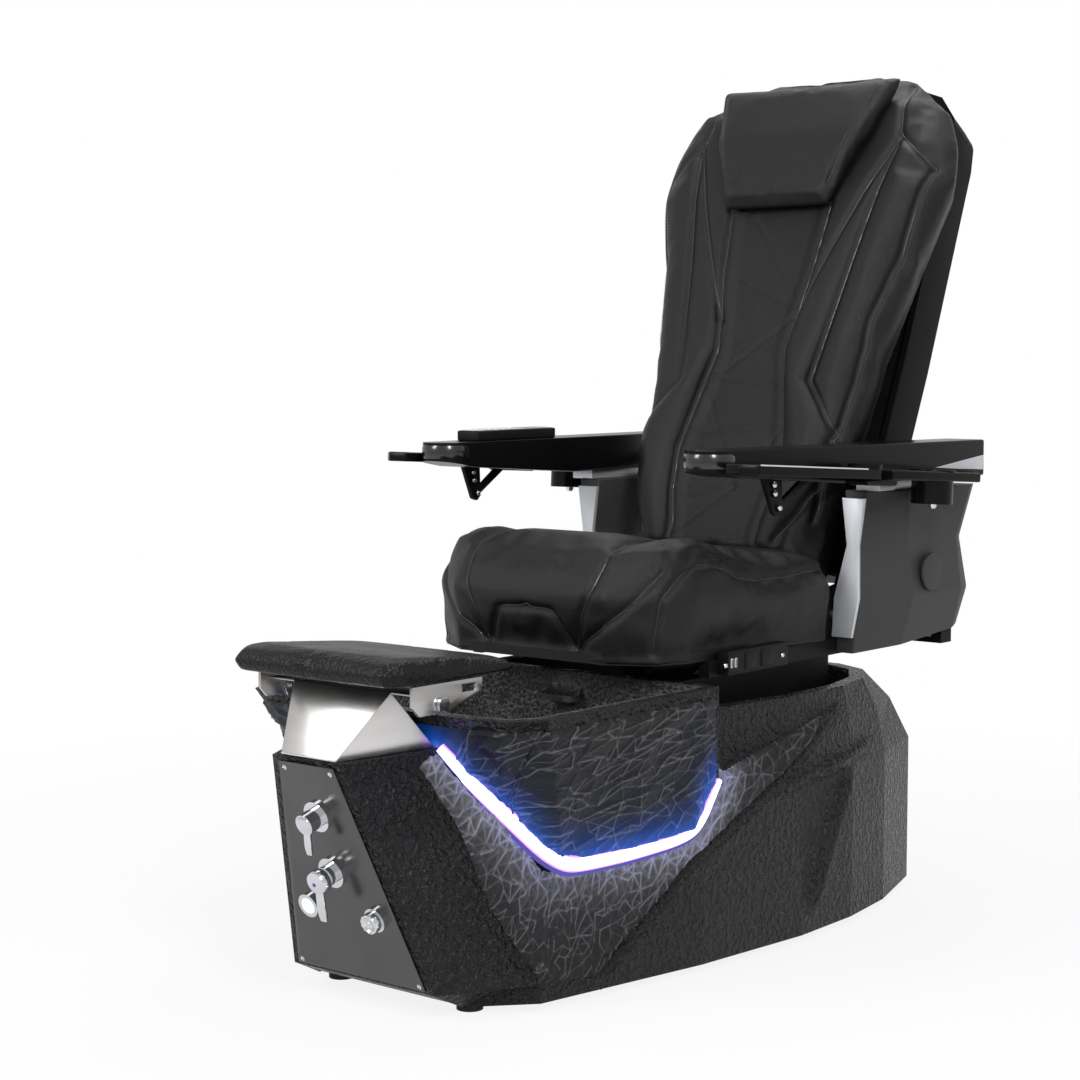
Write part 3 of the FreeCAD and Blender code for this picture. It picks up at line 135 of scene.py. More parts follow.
def finish(name, grain, **constants):
    """A material with constants on the shader's own sockets, and what grain returns varying over the piece."""
    material = bpy.data.materials.new(name)
    material.use_nodes = True
    tree = material.node_tree
    shader = tree.nodes["Principled BSDF"]
    for socket, value in constants.items():
        shader.inputs[socket.replace("_", " ")].default_value = value
    place = Tone(tree, tree.nodes.new("ShaderNodeTexCoord").outputs["Object"])
    for socket, tone in grain(place).items():
        tree.links.new(tone.socket, shader.inputs[socket])
    return material


def pebbled(place):
    patches = place.clouds(0.12, 3)
    pebbles = place.clouds(0.0092, 4).between(0.36, 0.68)
    drops = 1 - place.cells(0.019).between(0.0, 0.17)
    return {
        "Base Color": (0.5 * patches + 0.5 * pebbles).tint((0.003, 0.003, 0.0033), (0.018, 0.018, 0.0187)),
        "Roughness": 0.31 - 0.14 * pebbles,
        "Normal": (pebbles + 0.9 * drops).raised(0.0095, 1.0, 0.005),
    }


def dress(material, *nodes):
    for node in nodes:
        for slot in frame["nodes"][node].material_slots:
            slot.material = material


def in_scene(name, data):
    thing = bpy.data.objects.new(name, data)
    bpy.context.scene.collection.objects.link(thing)
    return thing


def placed(name, mesh, material, body, stands_for=None):
    """Puts a new mesh in the scene with its finish, riding on a body and standing for a CAD node."""
    piece = in_scene(name, mesh)
    if material:
        mesh.materials.append(material)
    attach(piece, body)
    if stands_for:
        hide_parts(stands_for)


def bare_mesh(node, name):
    """The CAD node's faces again in a mesh of its own, with the triangles of each flat face joined."""
    shape = bmesh.new()
    shape.from_mesh(frame["nodes"][node].data)
    bmesh.ops.remove_doubles(shape, verts=shape.verts, dist=1e-5)
    bmesh.ops.dissolve_limit(shape, angle_limit=math.radians(0.6), verts=shape.verts, edges=shape.edges)
    mesh = bpy.data.meshes.new(name)
    flat = bmesh.new()
    corners = {vert: flat.verts.new(vert.co) for vert in shape.verts}
    for face in shape.faces:
        flat.faces.new([corners[vert] for vert in face.verts])
    flat.to_mesh(mesh)
    flat.free()
    shape.free()
    return mesh


def eased(node, material, width, sharp=25, shortest=0.02, steps=3):
    """The CAD node again with its long sharp edges rounded over, standing for the node."""
    mesh = bare_mesh(node, node + "_eased")
    shape = bmesh.new()
    shape.from_mesh(mesh)
    edges = [e for e in shape.edges if len(e.link_faces) == 2 and e.calc_length() > shortest
             and e.calc_face_angle(0) > math.radians(sharp)]
    bmesh.ops.bevel(shape, geom=edges, offset=width, segments=steps, profile=0.5, affect="EDGES",
                    clamp_overlap=False)
    bmesh.ops.recalc_face_normals(shape, faces=shape.faces)
    shape.to_mesh(mesh)
    shape.free()
    mesh.shade_smooth()
    mesh.set_sharp_from_angle(angle=math.radians(32))
    placed(node + "_eased", mesh, material, frame["nodes"][node]["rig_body"], stands_for=node)


resin = finish("base_resin", pebbled, Specular_IOR_Level=0.3)
dress(resin, "base_shell")

# Foot basin: the bowl and its outer skirt, moulded in the same resin, with a flat rim all round.
# The bowl is dropped into the base shell and bonded along the line where the lights run.
dress(resin, "basin_skirt")


# The bowl's resin is painted far lighter than the base's and lightest on the pebble tops: painted light in the
# seat's shade and painted glints on the pebbles.
def pebbled_painted_light(place):
    pebbles = place.clouds(0.0062, 4).between(0.4, 0.66)
    return {
        "Base Color": pebbles.tint((0.02, 0.02, 0.0205), (0.2, 0.2, 0.204)),
        "Roughness": 0.36 - 0.14 * pebbles,
        "Normal": pebbles.raised(0.006, 1.0, 0.005),
    }


dress(finish("bowl_resin_painted_light", pebbled_painted_light, Specular_IOR_Level=0.8), "foot_basin")

# Shard relief: thin crests that criss-cross like cracked ice on the skirt and on the base below the lights.
# They are part of the mould, up to seven millimetres proud, and end at the raised ridges of the plain facets.
SIDES = ((1, "left"), (-1, "right"))
SPACING = 0.0024
RIM_PLAN = [(0.0, -0.6264), (0.17, -0.6264), (0.258, -0.6134), (0.288, -0.5614), (0.291, -0.3214),
            (0.292, -0.1814), (0.285, -0.1364)]
RIM_START = 25
LIGHT_LINE = np.array([(0.118, -0.6054, 0.395), (0.184, -0.5464, 0.3055), (0.25, -0.4874, 0.216),
                       (0.268, -0.3414, 0.214), (0.285, -0.1964, 0.222), (0.289, -0.1414, 0.3)])


def tree_of(piece):
    """A search tree over the faces of a piece."""
    mesh = piece.data
    return BVHTree.FromPolygons([vert.co for vert in mesh.vertices], [face.vertices for face in mesh.polygons])


def lengths_of(line):
    return np.concatenate([[0], np.cumsum(np.linalg.norm(np.diff(line, axis=0), axis=1))])


def read_off(marks, lengths, rows):
    """Rows of numbers that belong to a line, read off at marks along it."""
    return np.apply_along_axis(lambda row: np.interp(marks, lengths, row), 0, rows)


def walked(line, spacing):
    """Points at even steps along a line of points."""
    line = np.array(line, float)
    lengths = lengths_of(line)
    return read_off(np.linspace(0, lengths[-1], max(3, int(lengths[-1] / spacing))), lengths, line)


def evened(row, reach):
    """A row of points averaged with its neighbours, its ends kept."""
    wide = np.pad(row, ((reach, reach), (0, 0)), mode="reflect", reflect_type="odd")
    return np.apply_along_axis(np.convolve, 0, wide, np.ones(2 * reach + 1) / (2 * reach + 1), "valid")


def unit(rows):
    return rows / np.maximum(np.linalg.norm(rows, axis=-1, keepdims=True), 1e-9)


def ramp(values, start, width):
    """Nought at the start, rising to one over the width, backwards if the width is below nought."""
    return np.clip((values - start) / width, 0, 1)


def far_from(points, line):
    """Distance of each point from a line of points."""
    best = np.full(points.shape[:-1], np.inf)
    for a, b in zip(line[:-1], line[1:]):
        along = b - a
        share = np.clip((points - a) @ along / (along @ along), 0, 1)
        best = np.minimum(best, np.linalg.norm(points - a - share[..., None] * along, axis=-1))
    return best


def shards(rows, columns, size, lean, seed, width=0.0036):
    """Heights, nought to one, over a grid: crests along the sides of strewn triangles, and their tilted faces."""
    chance = np.random.default_rng(seed)
    across, up = np.meshgrid(np.arange(-2, columns * SPACING / size[0] + 2),
                             np.arange(-2, rows * SPACING / size[1] + 2))
    strewn = np.stack([across, up], axis=2).reshape(-1, 2) + chance.uniform(-0.42, 0.42, (across.size, 2))
    corners, sides, faces = delaunay_2d_cdt([Vector(spot) for spot in strewn], [], [], 0, 1e-6)[:3]
    corners = np.array(corners) * size
    corners[:, 0] += lean * corners[:, 1]
    heights = chance.uniform(0, 1, len(corners))
    crest, tilt = np.zeros((rows, columns)), np.zeros((rows, columns))
    grid = np.stack(np.meshgrid(np.arange(columns), np.arange(rows)), axis=2) * SPACING

    def window(spots, margin):
        low = np.maximum(((spots.min(axis=0) - margin) / SPACING).astype(int), 0)
        high = np.maximum(((spots.max(axis=0) + margin) / SPACING).astype(int) + 2, 0)
        return slice(low[1], high[1]), slice(low[0], high[0])

    for face in faces:
        spots, level = corners[list(face)], heights[list(face)]
        here = window(spots, 0.0)
        turned = np.linalg.inv(np.stack([spots[1] - spots[0], spots[2] - spots[0]], axis=1))
        share = (grid[here] - spots[0]) @ turned.T
        inside = (share.min(axis=2) >= -1e-9) & (share.sum(axis=2) <= 1)
        tilt[here] = np.where(inside, level[0] + share @ (level[1:] - level[0]), tilt[here])
    for side in sides:
        spots = corners[list(side)]
        here = window(spots, width)
        fall = np.clip(1 - far_from(grid[here], spots) / width, 0, 1)
        crest[here] = np.maximum(crest[here], chance.uniform(0.4, 1) * fall)
    return crest, tilt


def both_hands(name, corners, faces):
    """Makes the left and the right mesh of a shape that is given for the left."""
    for side, word in SIDES:
        mesh = bpy.data.meshes.new(f"{name}_{word}")
        mesh.from_pydata((corners.reshape(-1, 3) * (side, 1, 1)).tolist(), [], [face[::side] for face in faces])
        mesh.shade_smooth()
        yield side, mesh


def neighbours(grid, mode):
    """A grid moved by one step down, up, right and left."""
    wide = np.pad(grid, [(1, 1), (1, 1), (0, 0)][:grid.ndim], mode=mode)
    return wide[:-2, 1:-1], wide[2:, 1:-1], wide[1:-1, :-2], wide[1:-1, 2:]


STAND_OFF, CREST_HIGH, FACE_HIGH = 0.0004, 0.0022, 0.007
BORDER, BORDER_SUNK, BORDER_STEP = 5, 0.0025, 0.0007
RAY_BACK, RAY_REACH, RAY_SLANT = 0.1, 0.32, 0.2
PAINTED_GLOW_REACH = 0.046


def relief(name, node, plan, levels, zone, folds, material):
    """A skin laid on a shell by rays from a plan line, lifted by its folds and sunk at its border, on both sides."""
    tree = tree_of(frame["nodes"][node])
    rows, columns = len(levels), len(plan)
    ahead = np.gradient(evened(plan, 24), axis=0)
    inward = -unit(np.stack([ahead[:, 1], -ahead[:, 0]], axis=1))
    crest, tilt = folds
    points, normals = np.zeros((rows, columns, 3)), np.zeros((rows, columns, 3))
    inside = np.zeros((rows, columns), bool)
    for j in range(columns):
        heading = Vector((*inward[j], 0))
        for i in range(rows):
            start = Vector((*plan[j], levels[i])) - RAY_BACK * heading
            spot, normal = tree.ray_cast(start, heading, RAY_REACH)[:2]
            if spot is not None and normal.dot(heading) < -RAY_SLANT:
                points[i, j], normals[i, j], inside[i, j] = spot, normal, True
    if zone:
        within = np.zeros((rows, columns), bool)
        for (y0, z0), (y1, z1) in zip(zone, zone[1:] + zone[:1]):
            crossing = (points[..., 2] < z0) != (points[..., 2] < z1)
            rise = z1 - z0 if z1 != z0 else 1
            within ^= crossing & (points[..., 1] < y0 + (points[..., 2] - z0) * (y1 - y0) / rise)
        inside &= within
    depth = inside.astype(float)
    shrunk = inside
    for _ in range(BORDER - 1):
        for near in neighbours(shrunk, "constant"):
            shrunk = shrunk & near
        depth += shrunk
    for _ in range(3):
        normals = unit(sum(neighbours(normals, "edge"), normals))
    crest = crest * ramp(far_from(points, LIGHT_LINE), 0.009, 0.01)
    lift = np.where(depth >= BORDER, STAND_OFF + CREST_HIGH * crest + FACE_HIGH * tilt,
                    -BORDER_SUNK + BORDER_STEP * depth)
    made = (points + normals * lift[..., None])[inside]
    order = -np.ones((rows, columns), int)
    order[inside] = np.arange(inside.sum())
    quads = [[order[i, j], order[i, j + 1], order[i + 1, j + 1], order[i + 1, j]]
             for i in range(rows - 1) for j in range(columns - 1) if inside[i:i + 2, j:j + 2].all()]
    for side, mesh in both_hands(name, made, quads):
        # The glow attribute holds painted glow, falling off with distance from the light line.
        for key, values in (("glow", np.exp(-far_from(made, LIGHT_LINE) / PAINTED_GLOW_REACH)), ("crest", crest[inside])):
            mesh.attributes.new(key, "FLOAT", "POINT").data.foreach_set("value", values.astype(np.float32))
        shape = bmesh.new()
        shape.from_mesh(mesh)
        bmesh.ops.recalc_face_normals(shape, faces=shape.faces)
        if sum(face.normal.x for face in shape.faces) * side < 0:
            bmesh.ops.reverse_faces(shape, faces=shape.faces)
        loose = [vert for vert in shape.verts if not vert.link_faces]
        bmesh.ops.delete(shape, geom=loose, context="VERTS")
        shape.to_mesh(mesh)
        shape.free()
        placed(mesh.name, mesh, material, "base")


# Emission ramps of painted glow near the lights: blue on the skirt, white then violet on the base.
SKIRT_PAINTED_GLOW = [(0.0, (0, 0, 0)), (0.2, (0.0, 0.002, 0.012)), (0.42, (0.0, 0.02, 0.12)),
              (0.62, (0.002, 0.06, 0.34)), (0.8, (0.08, 0.14, 0.7)), (1.0, (0.65, 0.42, 1.0))]
BASE_PAINTED_GLOW = [(0.0, (0, 0, 0)), (0.1, (0.008, 0.008, 0.01)), (0.28, (0.07, 0.07, 0.085)),
             (0.52, (0.2, 0.2, 0.3)), (0.72, (0.2, 0.22, 0.62)), (1.0, (0.65, 0.42, 1.0))]
# Crest colours: painted highlight on the tops of the crests and painted shade in the grooves beside them.
CREST_HIGHLIGHT_AND_SHADE = [(0.0, (0.008, 0.008, 0.0085)), (0.24, (0.0005, 0.0005, 0.0005)), (0.5, (0.006, 0.006, 0.0065)),
               (0.95, (0.12, 0.12, 0.123))]


def veined(painted_glow_stops, even):
    """Resin with painted glow near the lights, all over or on its crests, and painted highlight and shade along its
    crests.
    """
    def grain(place):
        specks = place.clouds(0.0026, 2)
        crest, painted_glow = (place.node("ShaderNodeAttribute", {"attribute_name": key}, (), 2) for key in ("crest", "glow"))
        painted_light = (even + 1.3 * (1 - even) * crest) * painted_glow
        return {
            "Base Color": crest.node("ShaderNodeValToRGB", {"stops": CREST_HIGHLIGHT_AND_SHADE}, {0: crest}),
            "Roughness": 0.42 + 0.1 * specks - 0.18 * crest,
            "Normal": specks.raised(0.0008, 0.4),
            "Emission Color": painted_light.node("ShaderNodeValToRGB", {"stops": painted_glow_stops}, {0: painted_light}),
        }
    return grain


skirt_resin = finish("skirt_vein_resin", veined(SKIRT_PAINTED_GLOW, 0.85), Emission_Strength=1.0, Specular_IOR_Level=0.3)
vein_resin = finish("base_vein_resin", veined(BASE_PAINTED_GLOW, 0.5), Emission_Strength=1.0, Specular_IOR_Level=0.3)
plan = walked(RIM_PLAN, SPACING)[RIM_START:]
levels = np.arange(0.205, 0.436, SPACING)
folds = shards(len(levels), len(plan), (0.032, 0.014), 0.9, 4)
relief("skirt_veins", "basin_skirt", plan, levels, None, folds, skirt_resin)
RIDGE = [(-0.397, 0.026), (-0.307, 0.097), (-0.209, 0.172), (-0.11, 0.221), (0.001, 0.272), (0.2, 0.388)]
VEIN_ZONE = [(-0.652, 0.372), (-0.617, 0.301), (-0.571, 0.159), (-0.502, 0.037)] + RIDGE + [
    (0.067, 0.366), (-0.033, 0.341), (-0.125, 0.317), (-0.125, 0.405), (-0.6, 0.415)]
BASE_PLAN = [(0.12, -0.8), (0.26, -0.7), (0.36, -0.58), (0.42, -0.42), (0.44, -0.2), (0.44, 0.22)]
plan = evened(walked(BASE_PLAN, SPACING), 40)
levels = np.arange(0.022, 0.42, SPACING)
folds = shards(len(levels), len(plan), (0.018, 0.017), 0.25, 9)
relief("base_veins", "base_shell", plan, levels, VEIN_ZONE, folds, vein_resin)

# Facet ridges: three raised lines that part the plain facets of the base from each other and from the relief.
# They are rounded over in the same mould, and run out flat at both ends.
EDGES = {"facet_ridge": RIDGE, "facet_crease": [(0.242, 0.286), (0.215, 0.235), (0.095, 0.028)],
         "facet_brow": [(0.005, 0.266), (0.17, 0.281), (0.242, 0.291), (0.335, 0.306)]}
EDGE_PROFILE = [(-0.01, -0.001), (-0.005, 0.004), (0.0, 0.0065), (0.005, 0.0048), (0.02, -0.001)]
RUN_OUT, RUN_OUT_SUNK = 4, 0.001


def strip_faces(rows, count):
    """The faces of an open strip that has count corners in a row."""
    return [[i * count + j, i * count + j + 1, (i + 1) * count + j + 1, (i + 1) * count + j]
            for i in range(rows - 1) for j in range(count - 1)]


def strip_along(points, facing, profile):
    """Rows of corners along a line: how far across it and how far out, for each place in a row."""
    ahead = unit(np.gradient(points, axis=0))
    across = unit(np.cross(ahead, facing))
    out = np.cross(across, ahead)
    return np.stack([points + across * a + out * b for a, b in profile], axis=1)


tree = tree_of(frame["nodes"]["base_shell"])
for name, line in EDGES.items():
    hits = [tree.ray_cast(Vector((0.6, y, z)), Vector((-1, 0, 0)))[:2] for y, z in walked(line, 0.012)]
    points, normals = (np.array([hit[k] for hit in hits if hit[0]]) for k in (0, 1))
    steps = np.arange(len(points))
    rise = ramp(np.minimum(steps, steps[::-1]), 0, RUN_OUT)[:, None]
    strip = strip_along(evened(points, 1), evened(normals, 2),
                        [(a, b * rise - RUN_OUT_SUNK * (1 - rise)) for a, b in EDGE_PROFILE])
    for _, mesh in both_hands(name, strip, strip_faces(len(points), len(EDGE_PROFILE))):
        placed(mesh.name, mesh, resin, "base")

# Light line: a row of diodes under a milky cover, pressed into the joint between bowl and base on each side.
# The cover shows white along its middle and violet at both edges, turns the corners in soft bends, and is held
# by a thin flange that tucks in below the shell. The flange's dim blue emission is painted glow from the lights.
FACING = np.array([(0.62, -0.78, -0.08), (0.68, -0.73, -0.06), (0.9, -0.42, 0.02), (1.0, -0.06, 0.05),
                   (1.0, -0.1, 0.03), (1.0, -0.1, 0.0)])


def softened(points, rounds=4, share=0.18):
    """Cuts the corners of a line of points again and again, keeping its ends."""
    for _ in range(rounds):
        cut = [points[0]]
        for a, b in zip(points[:-1], points[1:]):
            cut += [a + share * (b - a), b - share * (b - a)]
        points = np.array(cut + [points[-1]])
        share = 0.25
    return points


def hazed(size, detail, least):
    return lambda place: {"Roughness": least + 0.2 * place.clouds(size, detail)}


# Light line finishes: name, base colour, emission colour and strength; the core and edges are the lamp, and the
# flange's emission is painted glow.
LIGHTS = [("light_core", (0.8, 0.8, 0.9), (0.3, 0.27, 1.0), 5.0),
          ("light_edge", (0.5, 0.3, 0.8), (0.52, 0.2, 1.0), 1.25),
          ("light_flange_painted_glow", (0.02, 0.02, 0.05), (0.08, 0.07, 0.5), 0.7)]
COVER_PROFILE = [(-1.6, -0.6), (-1.05, -0.05), (-1.0, 0.1), (-0.8, 0.42), (-0.45, 0.62), (0.0, 0.7),
                 (0.45, 0.62), (0.8, 0.42), (1.0, 0.1), (1.05, -0.05), (1.6, -0.6)]
COVER_LIGHTS = [2, 1, 1, 0, 0, 0, 0, 1, 1, 2]
COVER_HIGH, COVER_FOOT = 0.0062, 0.001


def hump(values, middle, width):
    """One in the middle, falling off softly over the width."""
    return np.exp(-((values - middle) / width) ** 2)


lights = [finish(name, hazed(0.004, 1, 0.35), Base_Color=(*skin, 1), Emission_Color=(*glow, 1),
                 Emission_Strength=strength)
          for name, skin, glow, strength in LIGHTS]
path = softened(np.hstack([LIGHT_LINE, FACING]))
turn_out = hump(np.linalg.norm(path[:, :3] - LIGHT_LINE[2], axis=1), 0, 0.035)
turn_out = np.maximum(turn_out, 0.75 * ramp(path[:, 1], -0.48, -0.03))
path[:, :3] += 0.011 * turn_out[:, None] * unit(path[:, 3:])
half_width = np.interp(np.linspace(0, 1, len(path)), [0, 0.45, 0.8, 1], [0.0115, 0.0118, 0.0085, 0.0055])
strip = strip_along(path[:, :3], path[:, 3:],
                    [((w * half_width)[:, None], COVER_FOOT + h * COVER_HIGH) for w, h in COVER_PROFILE])
count = len(COVER_PROFILE)
quads = strip_faces(len(path), count)
ends = [list(range(count)), list(range((len(path) - 1) * count, len(path) * count))[::-1]]
for _, mesh in both_hands("light_line", strip, quads + ends):
    for light in lights:
        mesh.materials.append(light)
    for number, face in enumerate(mesh.polygons):
        face.material_index = COVER_LIGHTS[number % (count - 1)] if number < len(quads) else 1
    placed(mesh.name, mesh, None, "base", "light_strips")

# Under-frame: welded square tube with a deck plate, slide rails and drives, all out of sight below the seat.
# The steel is powder-coated black; motors and boxes are moulded black, glides rubber and rods ground steel.


def patchy(size, detail, dark, light, rough, pits=None, stretch=None):
    """A grain of soft patches in two tones, rougher where lighter by the second number of rough, with fine pits."""
    def grain(place):
        patches = (place.stretched(*stretch) if stretch else place).clouds(size, detail)
        varying = {"Base Color": patches.tint(dark, light), "Roughness": rough[0] + rough[1] * patches}
        if pits:
            varying["Normal"] = pits(place)
        return varying
    return grain


black_steel = finish("black_steel_coat", Specular_IOR_Level=0.12, grain=patchy(
    0.05, 4, (0.004, 0.004, 0.0044), (0.009, 0.009, 0.0096), (0.38, 0.2),
    lambda place: place.clouds(0.0016, 2).raised(0.0005, 0.35)))
black_mould = finish("black_moulding", Specular_IOR_Level=0.15, grain=patchy(
    0.08, 3, (0.005, 0.005, 0.0055), (0.01, 0.01, 0.011), (0.42, 0.16),
    lambda place: place.cells(0.0011).raised(0.0003, 0.3)))
steel_rod = finish("ground_rod", Metallic=1.0, grain=patchy(
    0.0012, 3, (0.36, 0.36, 0.37), (0.5, 0.5, 0.51), (0.22, 0.16),
    lambda place: place.stretched(1, 0.05, 1).clouds(0.0012, 3).raised(0.0001, 0.2), (1, 0.05, 1)))
foot_rubber = finish("foot_rubber", patchy(0.02, 4, (0.012, 0.012, 0.013), (0.035, 0.033, 0.04), (0.6, 0.3)))
dress(black_steel, "base_frame", "deck_plate", "slide_rails", "carriage_frame", "back_frame", "massage_rails")
dress(black_mould, "control_box", "slide_drive", "recline_drive", "jet_motor", "slide_shoes", "power_inlet",
      "massage_carriage")
dress(steel_rod, "slide_rod", "recline_rod", "back_pivots", "arm_pins")
dress(foot_rubber, "levelling_feet", "massage_rollers")

# Water fittings: jet grille and impeller at the rear of the bowl, chromed spout, drain, and two brass inlets.
# The service plate that carries the inlets is a moulding screwed over an opening behind the shell.
chrome = finish("chrome_plate", patchy(0.03, 3, (0.6, 0.61, 0.63), (0.74, 0.75, 0.77), (0.05, 0.07)), Metallic=1.0)
brass = finish("turned_brass", Metallic=1.0, grain=patchy(
    0.01, 2, (0.42, 0.28, 0.1), (0.6, 0.42, 0.17), (0.22, 0.15),
    stretch=(1, 30, 1)))
grey_plastic = finish("grey_moulding", patchy(0.05, 3, (0.035, 0.036, 0.038), (0.06, 0.061, 0.064), (0.4, 0.15)))
dress(chrome, "fill_spout", "drain_fitting", "valve_bodies", "panel_bezels")
dress(brass, "water_inlets")
dress(grey_plastic, "jet_cover", "jet_impeller")
dress(black_mould, "service_plate")

# Control panel: a polished stainless plate let into the sloping front of the base, held by four dome screws.
# The mixer and the diverter hang from it, with the jet button and the drain knob side by side below.


# Panel stainless: its colour is painted dark as a painted reflection of dark surroundings, with hazy patches at
# random.
def polished(place):
    drawn = place.stretched(6, 1, 1).clouds(0.0014, 3)
    haze = place.clouds(0.09, 4)
    return {
        "Base Color": haze.tint((0.085, 0.084, 0.083), (0.135, 0.134, 0.132)),
        "Roughness": 0.12 + 0.1 * haze + 0.05 * drawn,
        "Normal": drawn.raised(0.00006, 0.25),
    }


stainless_painted_dark = finish("stainless_painted_dark", polished, Metallic=1.0)
eased("control_panel", stainless_painted_dark, 0.0008, shortest=0.01, steps=2)
PANEL_FOOT_Y, PANEL_FOOT_Z = -0.634425, 0.012
LEAN, UPRIGHT = 0.314, 0.9494


def on_panel(x, v, n=0.0):
    """A point of the panel: x across, v up the slope from its foot and n out of its face, in metres."""
    return np.array([x, PANEL_FOOT_Y - LEAN * v - UPRIGHT * n, PANEL_FOOT_Z + UPRIGHT * v - LEAN * n])


def around(steps):
    return [(math.cos(turn), math.sin(turn)) for turn in np.arange(steps) * 2 * math.pi / steps]


def turned(profile, centre, axis, steps=40):
    """Corners and faces of a shape turned on a lathe: (radius, how far along the axis) pairs."""
    axis = unit(np.array(axis, float))
    side = unit(np.cross(axis, (1.0, 0.0, 0.0) if abs(axis[0]) < 0.9 else (0.0, 1.0, 0.0)))
    other = np.cross(axis, side)
    return drawn_out([[centre + axis * height + radius * (side * c + other * s) for c, s in around(steps)]
                      for radius, height in profile])


def drawn_out(rings):
    """Corners and faces of a shape drawn through rings of equally many points, closed at both ends."""
    count = len(rings[0])
    corners = [corner for ring in rings for corner in ring]
    faces = [[i * count + j, i * count + (j + 1) % count, (i + 1) * count + (j + 1) % count, (i + 1) * count + j]
             for i in range(len(rings) - 1) for j in range(count)]
    faces.append(list(range(count))[::-1])
    faces.append([(len(rings) - 1) * count + j for j in range(count)])
    return corners, faces


def fitted(name, material, body, slot, *forms, stands_for=None):
    """Puts one piece of several (corners, faces) forms in the scene, smooth but for its sharp edges."""
    corners, faces = [], []
    for some, own in forms:
        start = len(corners)
        corners += [tuple(map(float, corner)) for corner in some]
        faces += [[start + i for i in face] for face in own]
    mesh = bpy.data.meshes.new(name)
    mesh.from_pydata(corners, [], faces)
    shape = bmesh.new()
    shape.from_mesh(mesh)
    bmesh.ops.recalc_face_normals(shape, faces=shape.faces)
    shape.to_mesh(mesh)
    shape.free()
    mesh.shade_smooth()
    mesh.set_sharp_from_angle(angle=math.radians(38))
    placed(name, mesh, material, body, stands_for)


OUT_OF_PANEL = on_panel(0, 0, 1) - on_panel(0, 0)


def lever(name, node, body, v, reach, radius, blade):
    """A domed cap with a flat tapered handle that hangs down the panel from it."""
    cap = turned([(radius * 0.8, reach - 0.02), (radius * 0.86, reach - 0.018), (radius, reach - 0.01),
                  (radius, reach - 0.004), (radius * 0.9, reach + 0.0005), (radius * 0.62, reach + 0.003),
                  (radius * 0.1, reach + 0.004)], on_panel(0, v), OUT_OF_PANEL)
    rings = []
    for share in np.linspace(0, 1, 9):
        wide = radius * np.interp(share, [0, 0.25, 0.8, 1], [0.62, 0.36, 0.46, 0.34])
        thick = np.interp(share, [0, 0.4, 1], [0.0055, 0.0042, 0.0026])
        along = v - share * blade
        out = reach - 0.008 + 0.01 * math.sin(share * math.pi / 2)
        rings.append([on_panel(wide * math.copysign(abs(c) ** 0.6, c), along,
                               out + thick * math.copysign(abs(s) ** 0.6, s)) for c, s in around(16)])
    fitted(name, chrome, body, "chrome", cap, drawn_out(rings), stands_for=node)


MIXER_UP = 0.212
lever("mixer_handle", "mixer_lever", "mixer", MIXER_UP, 0.04, 0.019, 0.06)
lever("diverter_handle", "diverter_lever", "diverter", 0.304, 0.034, 0.015, 0.046)


def tip_colours(place):
    up = place.node("ShaderNodeSeparateXYZ", (), {0: place}, 0)
    return {"Base Color": up.between(-0.0002, 0.0002).tint((0.55, 0.02, 0.02), (0.02, 0.06, 0.6)),
            "Roughness": 0.25 + 0.1 * place.clouds(0.004)}


heat_dot = turned([(0.003, 0.044), (0.003, 0.0446), (0.0022, 0.045), (0.0004, 0.0451)],
                  on_panel(0, MIXER_UP), OUT_OF_PANEL, 20)
fitted("mixer_dot", finish("heat_dot", tip_colours), "mixer", None, heat_dot)
lens = finish("button_lens", hazed(0.006, 2, 0.25), Base_Color=(0.75, 0.85, 0.95, 1),
              Emission_Color=(0.62, 0.85, 1.0, 1), Emission_Strength=0.9)
BUTTON_AT, KNOB_AT, RIBS = on_panel(-0.068, 0.146), on_panel(0.068, 0.146), 48
button = turned([(0.0128, 0.001), (0.0128, 0.008), (0.0118, 0.0098), (0.009, 0.0106), (0.0075, 0.0102),
                 (0.004, 0.01), (0.0004, 0.01)], BUTTON_AT, OUT_OF_PANEL)
fitted("jet_switch", lens, "button", "white_lens", button, stands_for="jet_button")
corners, faces = turned([(0.0135, 0.006), (0.0158, 0.0075), (0.016, 0.02), (0.015, 0.0222), (0.0118, 0.0226),
                         (0.0098, 0.02), (0.0055, 0.0178), (0.0004, 0.0172)], KNOB_AT, OUT_OF_PANEL, RIBS)
ribbed = [corner if i % RIBS % 4 else corner + (corner - KNOB_AT) * -0.03 for i, corner in enumerate(corners)]
fitted("drain_grip", chrome, "knob", "chrome", (ribbed, faces), stands_for="drain_knob")
DOME = [(0.0048, 0.0), (0.0048, 0.0012), (0.004, 0.0024), (0.0026, 0.003), (0.0022, 0.0016), (0.0003, 0.0015)]
screws = [turned(DOME, on_panel(x, v, 0.0006), OUT_OF_PANEL, 24)
          for x, v in ((-0.12, 0.042), (0.12, 0.042), (-0.046, 0.376), (0.046, 0.376))]
fitted("panel_dome_screws", chrome, "base", "chrome", *screws, stands_for="panel_screws")

# Footrest: a bracket folded from polished stainless sheet bolted on the prow, with two slotted bars for the pad.
# The pad is a moulded foam slab with a pebbled skin, and tilts on two chromed pivot bolts.


# Bracket stainless: lighter towards the bottom and darker towards the top as a painted reflection, with streaks at
# random.
def mirror_steel(place):
    height = place.node("ShaderNodeSeparateXYZ", (), {0: place}, 2)
    streaks = place.stretched(0.3, 0.3, 1).clouds(0.03, 2)
    painted_light = height.between(0.485, 0.375) * 0.6 + 0.4 * streaks
    return {"Base Color": painted_light.tint((0.36, 0.345, 0.33), (0.92, 0.91, 0.9)), "Roughness": 0.27 + 0.12 * streaks}


